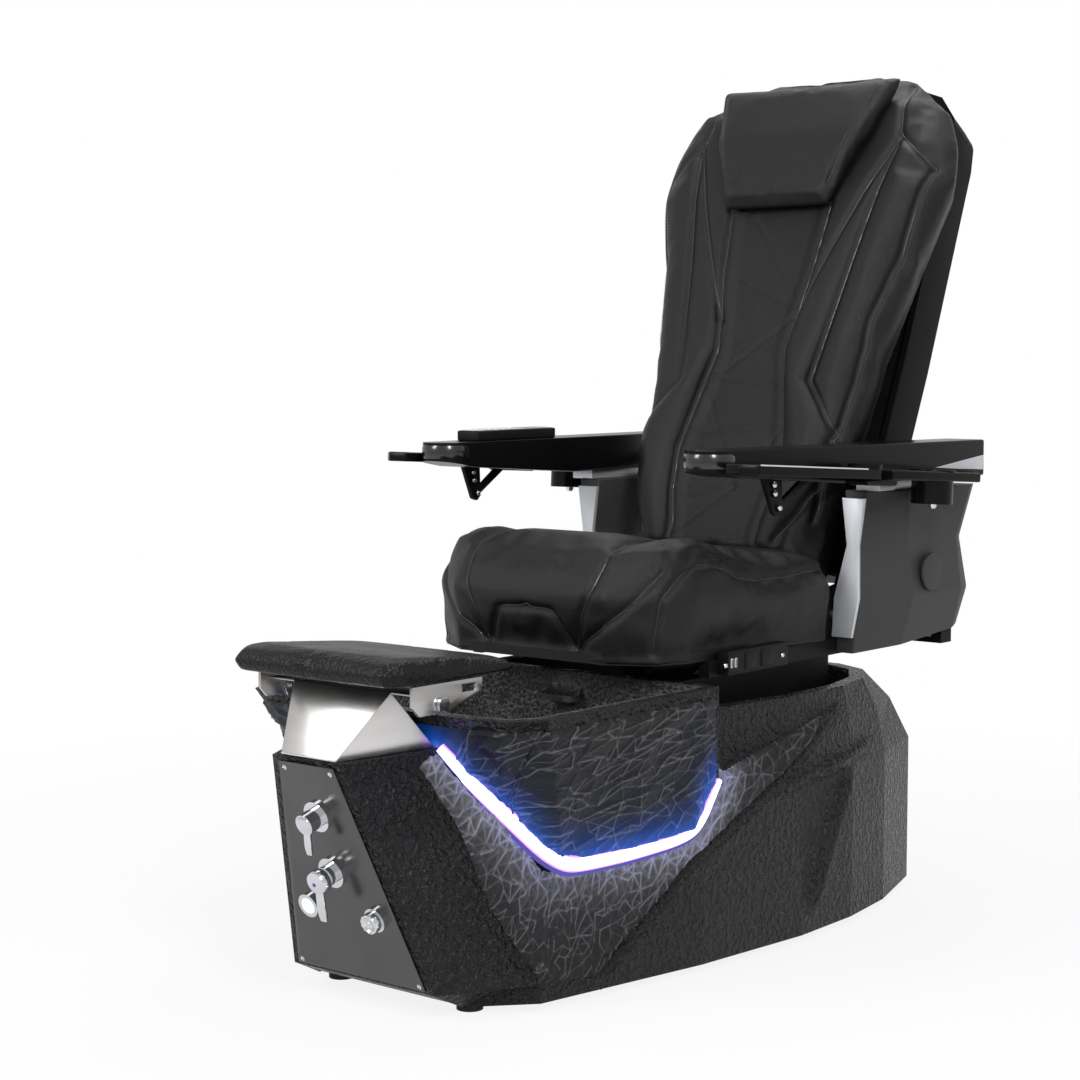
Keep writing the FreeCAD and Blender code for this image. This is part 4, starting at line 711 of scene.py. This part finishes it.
stainless = finish("polished_stainless", mirror_steel, Metallic=1.0)
eased("footrest_bracket", stainless, 0.0012, shortest=0.012, steps=2)
eased("footrest_links", stainless, 0.0016, shortest=0.005, steps=2)
dress(chrome, "footrest_pivots")


def corners_of(mesh):
    flat = np.empty(len(mesh.vertices) * 3)
    mesh.vertices.foreach_get("co", flat)
    return flat.reshape(-1, 3)


def normals_of(mesh):
    flat = np.empty(len(mesh.vertices) * 3, np.float32)
    mesh.vertex_normals.foreach_get("vector", flat)
    return flat.reshape(-1, 3).astype(float)


def set_corners(mesh, corners):
    mesh.vertices.foreach_set("co", corners.ravel())
    mesh.update()


def applied(piece, kind, **settings):
    """Works one of Blender's modifiers into a piece."""
    bpy.context.view_layer.objects.active = piece
    modifier = piece.modifiers.new(kind, kind)
    for key, value in settings.items():
        setattr(modifier, key, value)
    bpy.ops.object.modifier_apply(modifier=kind)


AIR = {"use_pressure": True, "uniform_pressure_force": 4, "tension_stiffness": 40, "compression_stiffness": 40,
       "bending_stiffness": 20, "quality": 4}
AIR_STEPS = 20
RESTING_SHARE = 0.15


def stuffed(node, name, voxel, shrink, most, rest_side, taut=7):
    """The CAD cushion again as a filled cover: remeshed, swollen by air pressure, and smoothed."""
    piece = in_scene(name, bare_mesh(node, name))
    applied(piece, "REMESH", mode="VOXEL", voxel_size=voxel)
    applied(piece, "SMOOTH", iterations=4, factor=0.5)
    mesh = piece.data
    start = corners_of(mesh) - normals_of(mesh) * shrink
    set_corners(mesh, start)
    cloth = piece.modifiers.new("air", "CLOTH")
    for key, value in AIR.items():
        setattr(cloth.settings, key, value)
    cloth.settings.effector_weights.gravity = 0
    cloth.point_cache.frame_end = AIR_STEPS
    for number in range(AIR_STEPS):
        bpy.context.scene.frame_set(number + 1)
    move = corners_of(piece.evaluated_get(bpy.context.evaluated_depsgraph_get()).data) - start
    piece.modifiers.remove(cloth)
    bpy.context.scene.frame_set(1)
    far = np.linalg.norm(move, axis=1, keepdims=True)
    move *= np.minimum(1, most / np.maximum(far, 1e-9))
    resting = np.clip(normals_of(mesh) @ np.array(rest_side) * 2 - 0.4, 0, 1)[:, None]
    set_corners(mesh, start + move * (1 - (1 - RESTING_SHARE) * resting))
    applied(piece, "SMOOTH", iterations=taut, factor=0.5)
    applied(piece, "SUBSURF", levels=1)
    return piece


def covered(piece, material, body, node):
    """Takes out the faces that a cover's flat stretches don't need, and gives it its finish and its place."""
    applied(piece, "DECIMATE", ratio=0.4)
    piece.data.shade_smooth()
    piece.data.materials.append(material)
    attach(piece, body)
    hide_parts(node)


pad_skin = finish("pad_skin", Specular_IOR_Level=0.15, grain=patchy(
    0.06, 3, (0.006, 0.006, 0.0065), (0.013, 0.013, 0.0138), (0.24, 0.2),
    lambda place: (1 - place.cells(0.0052, "SMOOTH_F1") + 0.4 * place.clouds(0.0024)).raised(0.0026, 0.7)))
pad = stuffed("footrest_pad", "footrest_slab", 0.005, 0.002, 0.005, (0, 0, -1), taut=3)
covered(pad, pad_skin, "footrest", "footrest_pad")

# Seat cushion: cut foam on the pan under a sewn cover of black leather, with a raised thigh roll at the front.
# The cover is pieced: welts run down the front in a fan and a double row of stitches follows each side.


def leather(place):
    pores = place.cells(0.0015, "DISTANCE_TO_EDGE").between(0.0, 0.25)
    creases = place.clouds(0.018, 4)
    patches = place.clouds(0.22, 3)
    return {
        "Base Color": patches.tint((0.005, 0.005, 0.0054), (0.0085, 0.0085, 0.009)),
        "Roughness": 0.27 + 0.14 * creases + 0.05 * pores,
        "Normal": (0.45 * pores + 1.4 * creases).raised(0.0012, 0.4),
    }


black_leather = finish("black_leather", leather, Specular_IOR_Level=0.27)
welt_leather = finish("welt_leather", leather, Coat_Weight=0.35, Coat_Roughness=0.2)
thread = finish("seam_thread", patchy(0.0006, 1, (0.02, 0.02, 0.021), (0.055, 0.055, 0.057), (0.5, 0.2)))
dress(black_leather, "seat_pan")


def laid_on(tree, line, toward=None, spacing=0.004):
    """Points and normals on a cover along a seam, dropped onto it along a heading or to the nearest place."""
    points, normals = [], []
    for spot in map(Vector, walked(line, spacing)):
        if toward is None:
            hit = tree.find_nearest(spot)
        else:
            hit = tree.ray_cast(spot - 0.15 * Vector(toward), Vector(toward))
        if hit[0] is not None:
            points.append(hit[0])
            normals.append(hit[1])
    points, normals = np.array(points), np.array(normals)
    for _ in range(3):
        points[1:-1] = (points[:-2] + 2 * points[1:-1] + points[2:]) / 4
        normals[1:-1] = normals[:-2] + 2 * normals[1:-1] + normals[2:]
    return points, unit(normals)


def pulled_in(piece, lines, width, depth):
    """Draws the cover into its foam along seams, and gives a search tree over it."""
    corners, normals = corners_of(piece.data), normals_of(piece.data)
    for points, _ in lines:
        near = np.all((corners > points.min(0) - 0.03) & (corners < points.max(0) + 0.03), axis=1)
        away = far_from(corners[near], points)
        corners[near] -= normals[near] * (depth * hump(away, 0, width))[:, None]
    set_corners(piece.data, corners)
    return tree_of(piece)


def welt(points, normals, radius=0.0014, sunk=0.0004):
    """A thin sewn roll along a seam."""
    side = np.cross(unit(np.gradient(points, axis=0)), normals)
    return drawn_out([[p + n * (radius * s - sunk) + a * radius * c for c, s in around(7)]
                      for p, n, a in zip(points, normals, side)])


BEAD = ((-0.5, 0.3), (-0.3, 1.0), (0.3, 1.0), (0.5, 0.3))


def stitched(points, normals, apart, pitch=0.0065, long=0.0042, radius=0.0006):
    """A row of stitches beside a seam, each a short bead of thread."""
    ahead = unit(np.gradient(points, axis=0))
    side = np.cross(ahead, normals)
    lengths = lengths_of(points)
    marks = np.arange(pitch / 2, lengths[-1], pitch)
    forms = []
    for spot, out, run, across in zip(*(read_off(marks, lengths, rows) for rows in (points, normals, ahead, side))):
        forms.append(drawn_out([[spot + apart * across + run * long * a + radius * b * (across * c + out * s)
                                 + out * 0.0002 for c, s in around(5)] for a, b in BEAD]))
    return forms


def sewn(name, body, welts, rows, apart, radius=0.0014):
    """The welts of a cover, and stitches on both sides of some of its seams."""
    fitted(name + "_welts", welt_leather, body, "black_leather", *[welt(*line, radius) for line in welts])
    fitted(name + "_stitches", thread, body, "black_leather",
           *[bead for line in rows for gap in (-apart, apart) for bead in stitched(*line, gap)])


def both_sides(lines):
    return lines + [[(-x, y, z) for x, y, z in line] for line in lines]


seat = stuffed("seat_cushion", "seat_cover", 0.006, 0.003, 0.012, (0, 0, -1))
CENTRING = 0.0214
SKIRT_TOP, PAN_LAP, PAN_DROP = 0.56, 0.005, 0.002
corners, normals = corners_of(seat.data), normals_of(seat.data)
x, y = np.abs(corners[:, 0]), corners[:, 1] + CENTRING
thigh_roll = ramp(x, 0.135, -0.05) * hump(y, -0.13, 0.1)
bolster = ramp(x, 0.16, 0.05)
lift = 0.008 * thigh_roll + bolster * (0.012 * hump(y, -0.08, 0.07) - 0.007 * hump(y, 0.1, 0.07))
lift -= 0.006 * hump(x, 0.145, 0.02) * hump(y, -0.1, 0.14)
corners[:, 2] += ramp(normals[:, 2], 0.25, 0.4) * lift
pan_low, pan_high = (np.array(corner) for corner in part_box("seat_pan"))
low = corners[:, 2].min()
foot = corners[corners[:, 2] < low + 0.03]
drop = ramp(corners[:, 2], SKIRT_TOP, low - SKIRT_TOP)
corners[:, 0] *= 1 + drop * max(0, (pan_high[0] + PAN_LAP) / np.abs(foot[:, 0]).max() - 1)
corners[:, 1] += drop * ramp(y, 0.12, -0.2) * min(0, pan_low[1] - PAN_LAP - foot[:, 1].min())
corners[:, 2] -= drop * (low - pan_low[2] + PAN_DROP)
corners[:, 0] *= 1 + 0.06 * ramp(y, 0, 0.15)
set_corners(seat.data, corners)
FRONT_SEAMS = [
    [(0.128, 0.16, 0.65), (0.13, -0.08, 0.668), (0.136, -0.17, 0.668), (0.138, -0.236, 0.645),
     (0.131, -0.264, 0.6), (0.112, -0.27, 0.555), (0.094, -0.262, 0.5)],
    [(0.222, -0.2, 0.625), (0.19, -0.24, 0.575), (0.14, -0.266, 0.53), (0.096, -0.262, 0.5)],
    [(0.084, -0.264, 0.503), (0.056, -0.272, 0.56), (0.0, -0.274, 0.562)],
]
SIDE_SEAM = [(0.248, 0.205, 0.603), (0.249, 0.1, 0.6), (0.249, 0.0, 0.607), (0.247, -0.075, 0.636),
             (0.244, -0.128, 0.641), (0.24, -0.172, 0.622), (0.232, -0.214, 0.585), (0.224, -0.222, 0.53),
             (0.215, -0.215, 0.5)]
tree = tree_of(seat)
seams = [laid_on(tree, line) for line in both_sides(FRONT_SEAMS) + both_sides([SIDE_SEAM])]
tree = pulled_in(seat, seams, 0.007, 0.0045)
seams = [laid_on(tree, points, None, 0.005) for points, _ in seams]
covered(seat, black_leather, "seat", "seat_cushion")
sides = seams[-2:]
sewn("seat", "seat", seams, sides, 0.0055)

# Side panels: faceted black mouldings that hide the arm posts, each with a brushed silver strip down its front.
# They clip over the carriage uprights, and a plain round cap covers the fixing screw in the middle.


def brushed(place):
    lines = place.stretched(1, 1, 0.03).clouds(0.0011, 3)
    haze = place.clouds(0.07, 3)
    return {
        "Base Color": haze.tint((0.6, 0.62, 0.65), (0.76, 0.78, 0.81)),
        "Roughness": 0.34 + 0.16 * lines,
        "Normal": lines.raised(0.0002, 0.3),
    }


side_plastic = finish("side_moulding", Specular_IOR_Level=0.35, grain=patchy(
    0.1, 3, (0.034, 0.0345, 0.035), (0.05, 0.0505, 0.051), (0.44, 0.14),
    lambda place: place.cells(0.0013, "DISTANCE_TO_EDGE").between(0.0, 0.3).raised(0.0004, 0.4)))
silver = finish("brushed_silver", brushed, Metallic=0.55)
eased("side_panels", side_plastic, 0.003, sharp=12, shortest=0.03)
eased("side_trims", silver, 0.0012, shortest=0.02, steps=2)
eased("panel_caps", side_plastic, 0.0014, sharp=50, shortest=0.0005, steps=2)
eased("arm_posts", silver, 0.0015, shortest=0.01, steps=2)

# Outlet strip: a black box under the seat's left side with two charging ports and two mains sockets.
# The faces are separate mouldings snapped into the box, which two chromed screws hold to the carriage.
eased("outlet_box", black_mould, 0.0012, shortest=0.01, steps=2)
FACE_X, FACE_Z, PORTS_Y = 0.2702, 0.4755, -0.0764
PLATE_TURNS = [(across, up, math.radians(start + turn)) for across, up, start in (
    (1, 1, 0), (-1, 1, 90), (-1, -1, 180), (1, -1, 270)) for turn in (0, 30, 60, 90)]


def plate(where, wide, high, thick, corner):
    """A small rounded plate; where gives the place of a point across, up and out of it."""
    return drawn_out([[where(across * (wide / 2 - corner) + (corner - inset) * math.cos(turn),
                             up * (high / 2 - corner) + (corner - inset) * math.sin(turn), out)
                       for across, up, turn in PLATE_TURNS]
                      for out, inset in ((-0.001, 0.0), (thick * 0.6, 0.0), (thick, corner * 0.3))])


def plaque(y, z, wide, high, thick, corner, x=FACE_X):
    """A plate on the face of the box."""
    return plate(lambda a, b, out: (x + out, y + a, z + b), wide, high, thick, corner)


pale_plastic = finish("pale_moulding", patchy(0.01, 2, (0.55, 0.56, 0.58), (0.7, 0.71, 0.72), (0.35, 0.1)))
# Socket slots: dark plates on the faces, painted shade standing for the holes.
slot_painted_shade = finish("slot_shadow", patchy(0.004, 1, (0.002, 0.002, 0.002), (0.005, 0.005, 0.005), (0.6, 0.2)))
faces, slots, ports = [plaque(PORTS_Y, FACE_Z, 0.03, 0.028, 0.0012, 0.003)], [], []
for y in (-0.0264, 0.0196):
    faces.append(plaque(y, FACE_Z, 0.034, 0.03, 0.0016, 0.005))
    for side in (-1, 1):
        slots.append(plaque(y + side * 0.0064, 0.479, 0.0022, 0.008, 0.0003, 0.0005, FACE_X + 0.0016))
    slots.append(plaque(y, 0.4675, 0.005, 0.0055, 0.0003, 0.0022, FACE_X + 0.0016))
for y in (PORTS_Y - 0.0055, PORTS_Y + 0.0055):
    ports.append(plaque(y, FACE_Z, 0.0062, 0.015, 0.0006, 0.0012, FACE_X + 0.0012))
    slots.append(plaque(y, FACE_Z, 0.0022, 0.0115, 0.0002, 0.0004, FACE_X + 0.0018))
fitted("socket_faces", black_mould, "seat", "black_plastic", *faces)
fitted("socket_slots", slot_painted_shade, "seat", "black_plastic", *slots)
fitted("charging_ports", pale_plastic, "seat", "white_lens", *ports)
heads = [turned([(0.0042, 0.0), (0.0042, 0.0012), (0.0032, 0.0024), (0.0012, 0.0028), (0.0003, 0.0028)],
                np.array([FACE_X, y, 0.4735]), (1, 0, 0), 20) for y in (-0.0985, 0.064)]
fitted("outlet_screws", chrome, "seat", "chrome", *heads)

# Back shell: a deep black moulding that closes the rear of the backrest round the massage carriage.
# It is vacuum-formed, so its rear corners are round, and it is screwed to the back frame from behind.
shell_plastic = finish("shell_moulding", Specular_IOR_Level=0.08, grain=patchy(
    0.08, 3, (0.002, 0.002, 0.0022), (0.0045, 0.0045, 0.0048), (0.46, 0.16),
    lambda place: place.cells(0.0011).raised(0.0003, 0.3)))
eased("back_shell", shell_plastic, 0.008, sharp=20, shortest=0.04, steps=4)

# Back cushion: foam over the back frame in the same leather, with a flat sunk panel down the middle.
# Full bolsters swell beside it towards the waist, and sewn wings fold round to the shell at both edges.
BACK_FOOT = np.array([0.0, 0.268575, 0.52])
UP_BACK = np.array([0.0, 0.3665, 0.9304])
OUT_OF_BACK = np.array([0.0, -0.9304, 0.3665])


def on_back(x, u, f=0.08):
    """A point of the back: x across, u up along it from its pivot and f out of its face, in metres."""
    return np.array([x, 0, 0]) + BACK_FOOT + u * UP_BACK + f * OUT_OF_BACK


back = stuffed("back_cushion", "back_cover", 0.006, 0.002, 0.012, -OUT_OF_BACK)
corners, normals = corners_of(back.data), normals_of(back.data)
x, u = np.abs(corners[:, 0]), (corners - BACK_FOOT) @ UP_BACK
panel = np.interp(u, [0.1, 0.19, 0.27, 0.4, 0.457, 0.5, 0.59, 0.73],
                  [0.092, 0.106, 0.112, 0.086, 0.072, 0.078, 0.092, 0.106])
wing = np.interp(u, [0.05, 0.13, 0.21, 0.29, 0.346, 0.396, 0.635, 0.848, 1.0],
                 [0.15, 0.16, 0.21, 0.23, 0.18, 0.14, 0.175, 0.213, 0.23])
swell = np.interp(u, [0.06, 0.15, 0.28, 0.4, 0.5, 0.62, 0.75, 0.85],
                  [0.01, 0.022, 0.024, 0.02, 0.013, 0.009, 0.005, 0.0])
lift = swell * np.sin(math.pi * ramp(x, panel, np.maximum(wing - panel, 0.02))) ** 0.7
lift -= 0.009 * ramp(x, panel, -0.03)
lift += 0.006 * np.sin(math.pi * ramp(x, wing, 0.09)) * ramp(u, 0.36, 0.08)
facing = ramp(normals @ OUT_OF_BACK, 0.15, 0.5)
corners += OUT_OF_BACK * (facing * lift)[:, None]
set_corners(back.data, corners)
BACK_SEAMS = [
    [(0.106, 0.73), (0.095, 0.6), (0.08, 0.51), (0.072, 0.457), (0.086, 0.395), (0.112, 0.27), (0.106, 0.19),
     (0.092, 0.13), (0.094, 0.09)],
    [(0.216, 0.866), (0.15, 0.695), (0.079, 0.515)],
    [(0.214, 0.848), (0.176, 0.635), (0.14, 0.398), (0.178, 0.347), (0.214, 0.292)],
    [(0.193, 0.985), (0.214, 0.868), (0.286, 0.806)],
    [(0.196, 0.212), (0.176, 0.165), (0.14, 0.1)],
]
EDGE_SEAM = [(0.286, 0.806), (0.258, 0.663), (0.226, 0.52), (0.216, 0.42), (0.204, 0.3), (0.192, 0.15)]
PANEL_CREASES = [
    [(-0.05, 0.71), (0.088, 0.53)], [(0.088, 0.53), (-0.07, 0.6)], [(0.088, 0.53), (-0.075, 0.4)],
    [(-0.08, 0.41), (0.085, 0.385)], [(-0.1, 0.3), (0.105, 0.315)], [(-0.085, 0.39), (0.02, 0.2)],
    [(0.02, 0.2), (0.1, 0.31)], [(-0.1, 0.18), (0.1, 0.22)], [(-0.09, 0.11), (0.02, 0.2)],
]
INTO_BACK = -OUT_OF_BACK


def seams_on_back(tree, *lines):
    return [laid_on(tree, line, INTO_BACK) for line in both_sides([[on_back(*p) for p in line] for line in lines])]


tree = tree_of(back)
seams = seams_on_back(tree, *BACK_SEAMS) + seams_on_back(tree, EDGE_SEAM)
creases = [laid_on(tree, [on_back(*p) for p in line], INTO_BACK) for line in PANEL_CREASES]
pulled_in(back, seams, 0.007, 0.005)
tree = pulled_in(back, creases, 0.005, 0.0012)
edges = seams_on_back(tree, EDGE_SEAM)
covered(back, black_leather, "back", "back_cushion")
sewn("back", "back", seams_on_back(tree, *BACK_SEAMS) + edges, edges, 0.006)

# Head pillow: a wedge of soft foam in a leather flap that hangs over the top of the back.
# Two bevelled side pieces are sewn to its face with double rows, and its lower edge stands off the back.
pillow = stuffed("head_pillow", "pillow_cover", 0.005, -0.001, 0.008, -OUT_OF_BACK)
corners = corners_of(pillow.data)
u = (corners - BACK_FOOT) @ UP_BACK
set_corners(pillow.data, corners + UP_BACK * (0.075 * (u - (u.min() + u.max()) / 2))[:, None])
PILLOW_SEAM = [(0.172, 0.962, 0.12), (0.146, 0.87, 0.14), (0.112, 0.762, 0.14)]
bevels = seams_on_back(tree_of(pillow), PILLOW_SEAM)
tree = pulled_in(pillow, bevels, 0.006, 0.003)
bevels = [laid_on(tree, points, None, 0.005) for points, _ in bevels]
covered(pillow, black_leather, "back", "head_pillow")
sewn("pillow", "back", bevels, bevels, 0.005, 0.001)

# Arms: hollow mouldings in gloss black that lift on a rear pin, each with a ledge and a cup well outside.
# A small tray swings out from under the front of each arm, and a drilled hanger braces it from below.
gloss_black = patchy(0.15, 4, (0.003, 0.003, 0.0033), (0.006, 0.006, 0.0064), (0.16, 0.14),
                     lambda place: place.clouds(0.006, 2).raised(0.0001, 0.15))
arm_gloss = finish("arm_gloss", gloss_black, Specular_IOR_Level=0.12)
for side in ("left", "right"):
    eased("arm_" + side, arm_gloss, 0.0035, shortest=0.012)
    eased("tray_" + side, arm_gloss, 0.0025, shortest=0.008)
    eased("cup_" + side, arm_gloss, 0.0012, sharp=50, shortest=0.001, steps=2)
    eased("brace_" + side, black_steel, 0.0006, sharp=50, shortest=0.004, steps=2)

# Arm fittings: a domed knob caps the round front of each arm, and a bright wedge is let into its rear side.
# A thin silver bead along the tray's rounded edge is a painted highlight, and chromed bolts hold the hanger below
# and the cup well behind.
TOE = math.radians(-4.5)
PIN_X, PIN_Y, PIN_AHEAD = 0.328, 0.526575, 0.548


def on_arm(side, x, y, z):
    """A point of an arm, given as if the arm pointed straight ahead from its pin."""
    across, along = x - PIN_X, y - PIN_AHEAD
    return np.array([side * (PIN_X + across * math.cos(TOE) - along * math.sin(TOE)),
                     PIN_Y + across * math.sin(TOE) + along * math.cos(TOE), z])


knob_gloss = finish("knob_gloss", gloss_black, Specular_IOR_Level=0.5, Coat_Weight=0.6, Coat_Roughness=0.08)
KNOB = [(0.03, -0.029), (0.0385, -0.027), (0.0415, -0.021), (0.0415, -0.006), (0.0398, -0.0012),
        (0.035, 0.0016), (0.029, 0.0022), (0.0262, 0.0034), (0.012, 0.0044), (0.001, 0.0046)]
HANGER_BOLT = [(0.005, -0.001), (0.005, 0.0008), (0.004, 0.0022), (0.002, 0.003), (0.0004, 0.0031)]
CUP_BOLT = [(0.007, 0.003), (0.007, -0.004), (0.005, -0.007), (0.001, -0.008)]
for side, word in SIDES:
    arm = word + "_arm"
    knob = turned(KNOB, on_arm(side, PIN_X, -0.13, 0.812), (0, 0, 1), 56)
    fitted("arm_knob_" + word, knob_gloss, arm, "arm_plastic", knob)
    out = on_arm(side, PIN_X + 1, 0, 0) - on_arm(side, PIN_X, 0, 0)
    wedge = [[on_arm(side, 0.3675 + thick, y, z)
              for y, z in ((0.425 + inset, 0.7705), (0.574, 0.788 - inset / 3), (0.572, 0.7625 + inset / 4),
                           (0.5, 0.7655 + inset / 4))]
             for thick, inset in ((0.0, 0.0), (0.0014, 0.0), (0.0018, 0.002))]
    fitted("arm_wedge_" + word, silver, arm, "silver_trim", drawn_out(wedge))
    # The silver bead on the tray's edge stands for the highlight on its rounded edge: a painted highlight.
    edge = walked([on_arm(side, 0.4392, y, z) for y, z in ((-0.145, 0.7962), (0.13, 0.7806))], 0.02)
    bead = welt(edge, np.tile((side * 0.5, 0, 0.86), (len(edge), 1)), 0.0013, 0.0)
    fitted("tray_edge_" + word, silver, word + "_tray", "silver_trim", bead)
    heads = [turned(HANGER_BOLT, on_arm(side, face, y, z), way * out, 20)
             for y, z in ((-0.006, 0.722), (-0.018, 0.745), (-0.02, 0.759))
             for face, way in ((0.368, 1), (0.352, -1))]
    heads.append(turned(CUP_BOLT, on_arm(side, 0.407, 0.36, 0.7125), (0, 0, 1), 24))
    fitted("arm_bolts_" + word, chrome, arm, "chrome", *heads)

# Handset: the massage remote lies on the right arm, a flat black box with a bright frame and rows of keys.
# It is held by a magnet under the arm's top skin.
eased("remote_handset", black_mould, 0.003, shortest=0.01)


def key(x, y, z, wide, long, thick, corner):
    """A small plate on top of the handset."""
    return plate(lambda a, b, out: on_arm(-1, PIN_X + a + x, y + b, z + out), wide, long, thick, corner)


keys = [key(x, y, 0.8342, 0.01, 0.013, 0.0016, 0.003)
        for y in np.arange(-0.04, 0.06, 0.02) for x in (-0.011, 0.003)]
fitted("remote_frame", silver, "right_arm", "silver_trim", key(0, 0.0475, 0.833, 0.04, 0.226, 0.0012, 0.008))
fitted("remote_keys", pale_plastic, "right_arm", "white_lens", *keys)
fitted("remote_screen", knob_gloss, "right_arm", "black_plastic", key(0, 0.115, 0.8342, 0.032, 0.07, 0.0006, 0.004))

# Studio: a pale floor, three soft boxes and a white surround, with the camera where the photograph was taken.
# The floor looks white to the camera and still takes a soft shadow near the chair.
FLOOR, FLOOR_Z = 40, -0.0005
floor_mesh = bpy.data.meshes.new("studio_floor")
floor_mesh.from_pydata([(x * FLOOR, y * FLOOR, FLOOR_Z) for x, y in ((-1, -1), (1, -1), (1, 1), (-1, 1))], [],
                       [(0, 1, 2, 3)])
in_scene("studio_floor", floor_mesh)


def white_to_the_eye(tree):
    """One for rays from the camera and through glass, about half for reflections, and nought for the rest."""
    rays = tree.nodes.new("ShaderNodeLightPath")
    camera, glossy, through = (Tone(tree, rays.outputs[name]) for name in
                               ("Is Camera Ray", "Is Glossy Ray", "Is Transmission Ray"))
    return camera + 0.55 * glossy + through


paper = bpy.data.materials.new("studio_paper")
paper.use_nodes = True
tree = paper.node_tree
tree.nodes.remove(tree.nodes["Principled BSDF"])
seen = white_to_the_eye(tree)
matt = seen.node("ShaderNodeBsdfDiffuse", (), {"Color": (0.85, 0.85, 0.85, 1)})
bright = seen.node("ShaderNodeEmission", (), {"Color": (1, 1, 1, 1), "Strength": 1.0})
spot = Tone(tree, tree.nodes.new("ShaderNodeTexCoord").outputs["Object"])
reach = spot.node("ShaderNodeVectorMath", {"operation": "LENGTH"}, {0: spot}, 1).between(0.7, 2.2)
mixed = seen.node("ShaderNodeMixShader", (), {0: seen.between(0, 1) * (0.87 + 0.13 * reach), 1: matt, 2: bright})
tree.links.new(mixed.socket, tree.nodes["Material Output"].inputs["Surface"])
floor_mesh.materials.append(paper)

world = bpy.data.worlds.new("studio")
bpy.context.scene.world = world
world.use_nodes = True
tree = world.node_tree
ground = tree.nodes["Background"]
seen = white_to_the_eye(tree)
tree.links.new(seen.between(0, 1).tint((0.3, 0.305, 0.315), (1, 1, 1)).socket, ground.inputs["Color"])


def soft_box(name, spot, aim, size, power):
    lamp = bpy.data.lights.new(name, "AREA")
    lamp.shape = "RECTANGLE"
    lamp.size, lamp.size_y = size
    lamp.energy = power
    box = in_scene(name, lamp)
    box.location = spot
    box.rotation_euler = (Vector(aim) - Vector(spot)).to_track_quat("-Z", "Y").to_euler()


soft_box("key_light", (2.2, -1.7, 2.4), (0, 0.1, 0.8), (0.6, 1.5), 58)
soft_box("fill_light", (-1.3, -3.1, 2.3), (0, 0, 0.6), (1.0, 1.5), 58)
soft_box("top_light", (0.2, 0.9, 3.0), (0, 0, 0.8), (1.4, 0.9), 28)

camera_data = bpy.data.cameras.new("camera")
camera_data.sensor_width = 36
camera_data.lens = 73.41
camera = in_scene("camera", camera_data)
camera.location = (2.2431, -2.944425, 0.955)
camera.rotation_euler = (math.radians(90 - 4.677), 0, math.radians(39.5787))
bpy.context.scene.camera = camera
bpy.context.scene.view_settings.view_transform = "Standard"
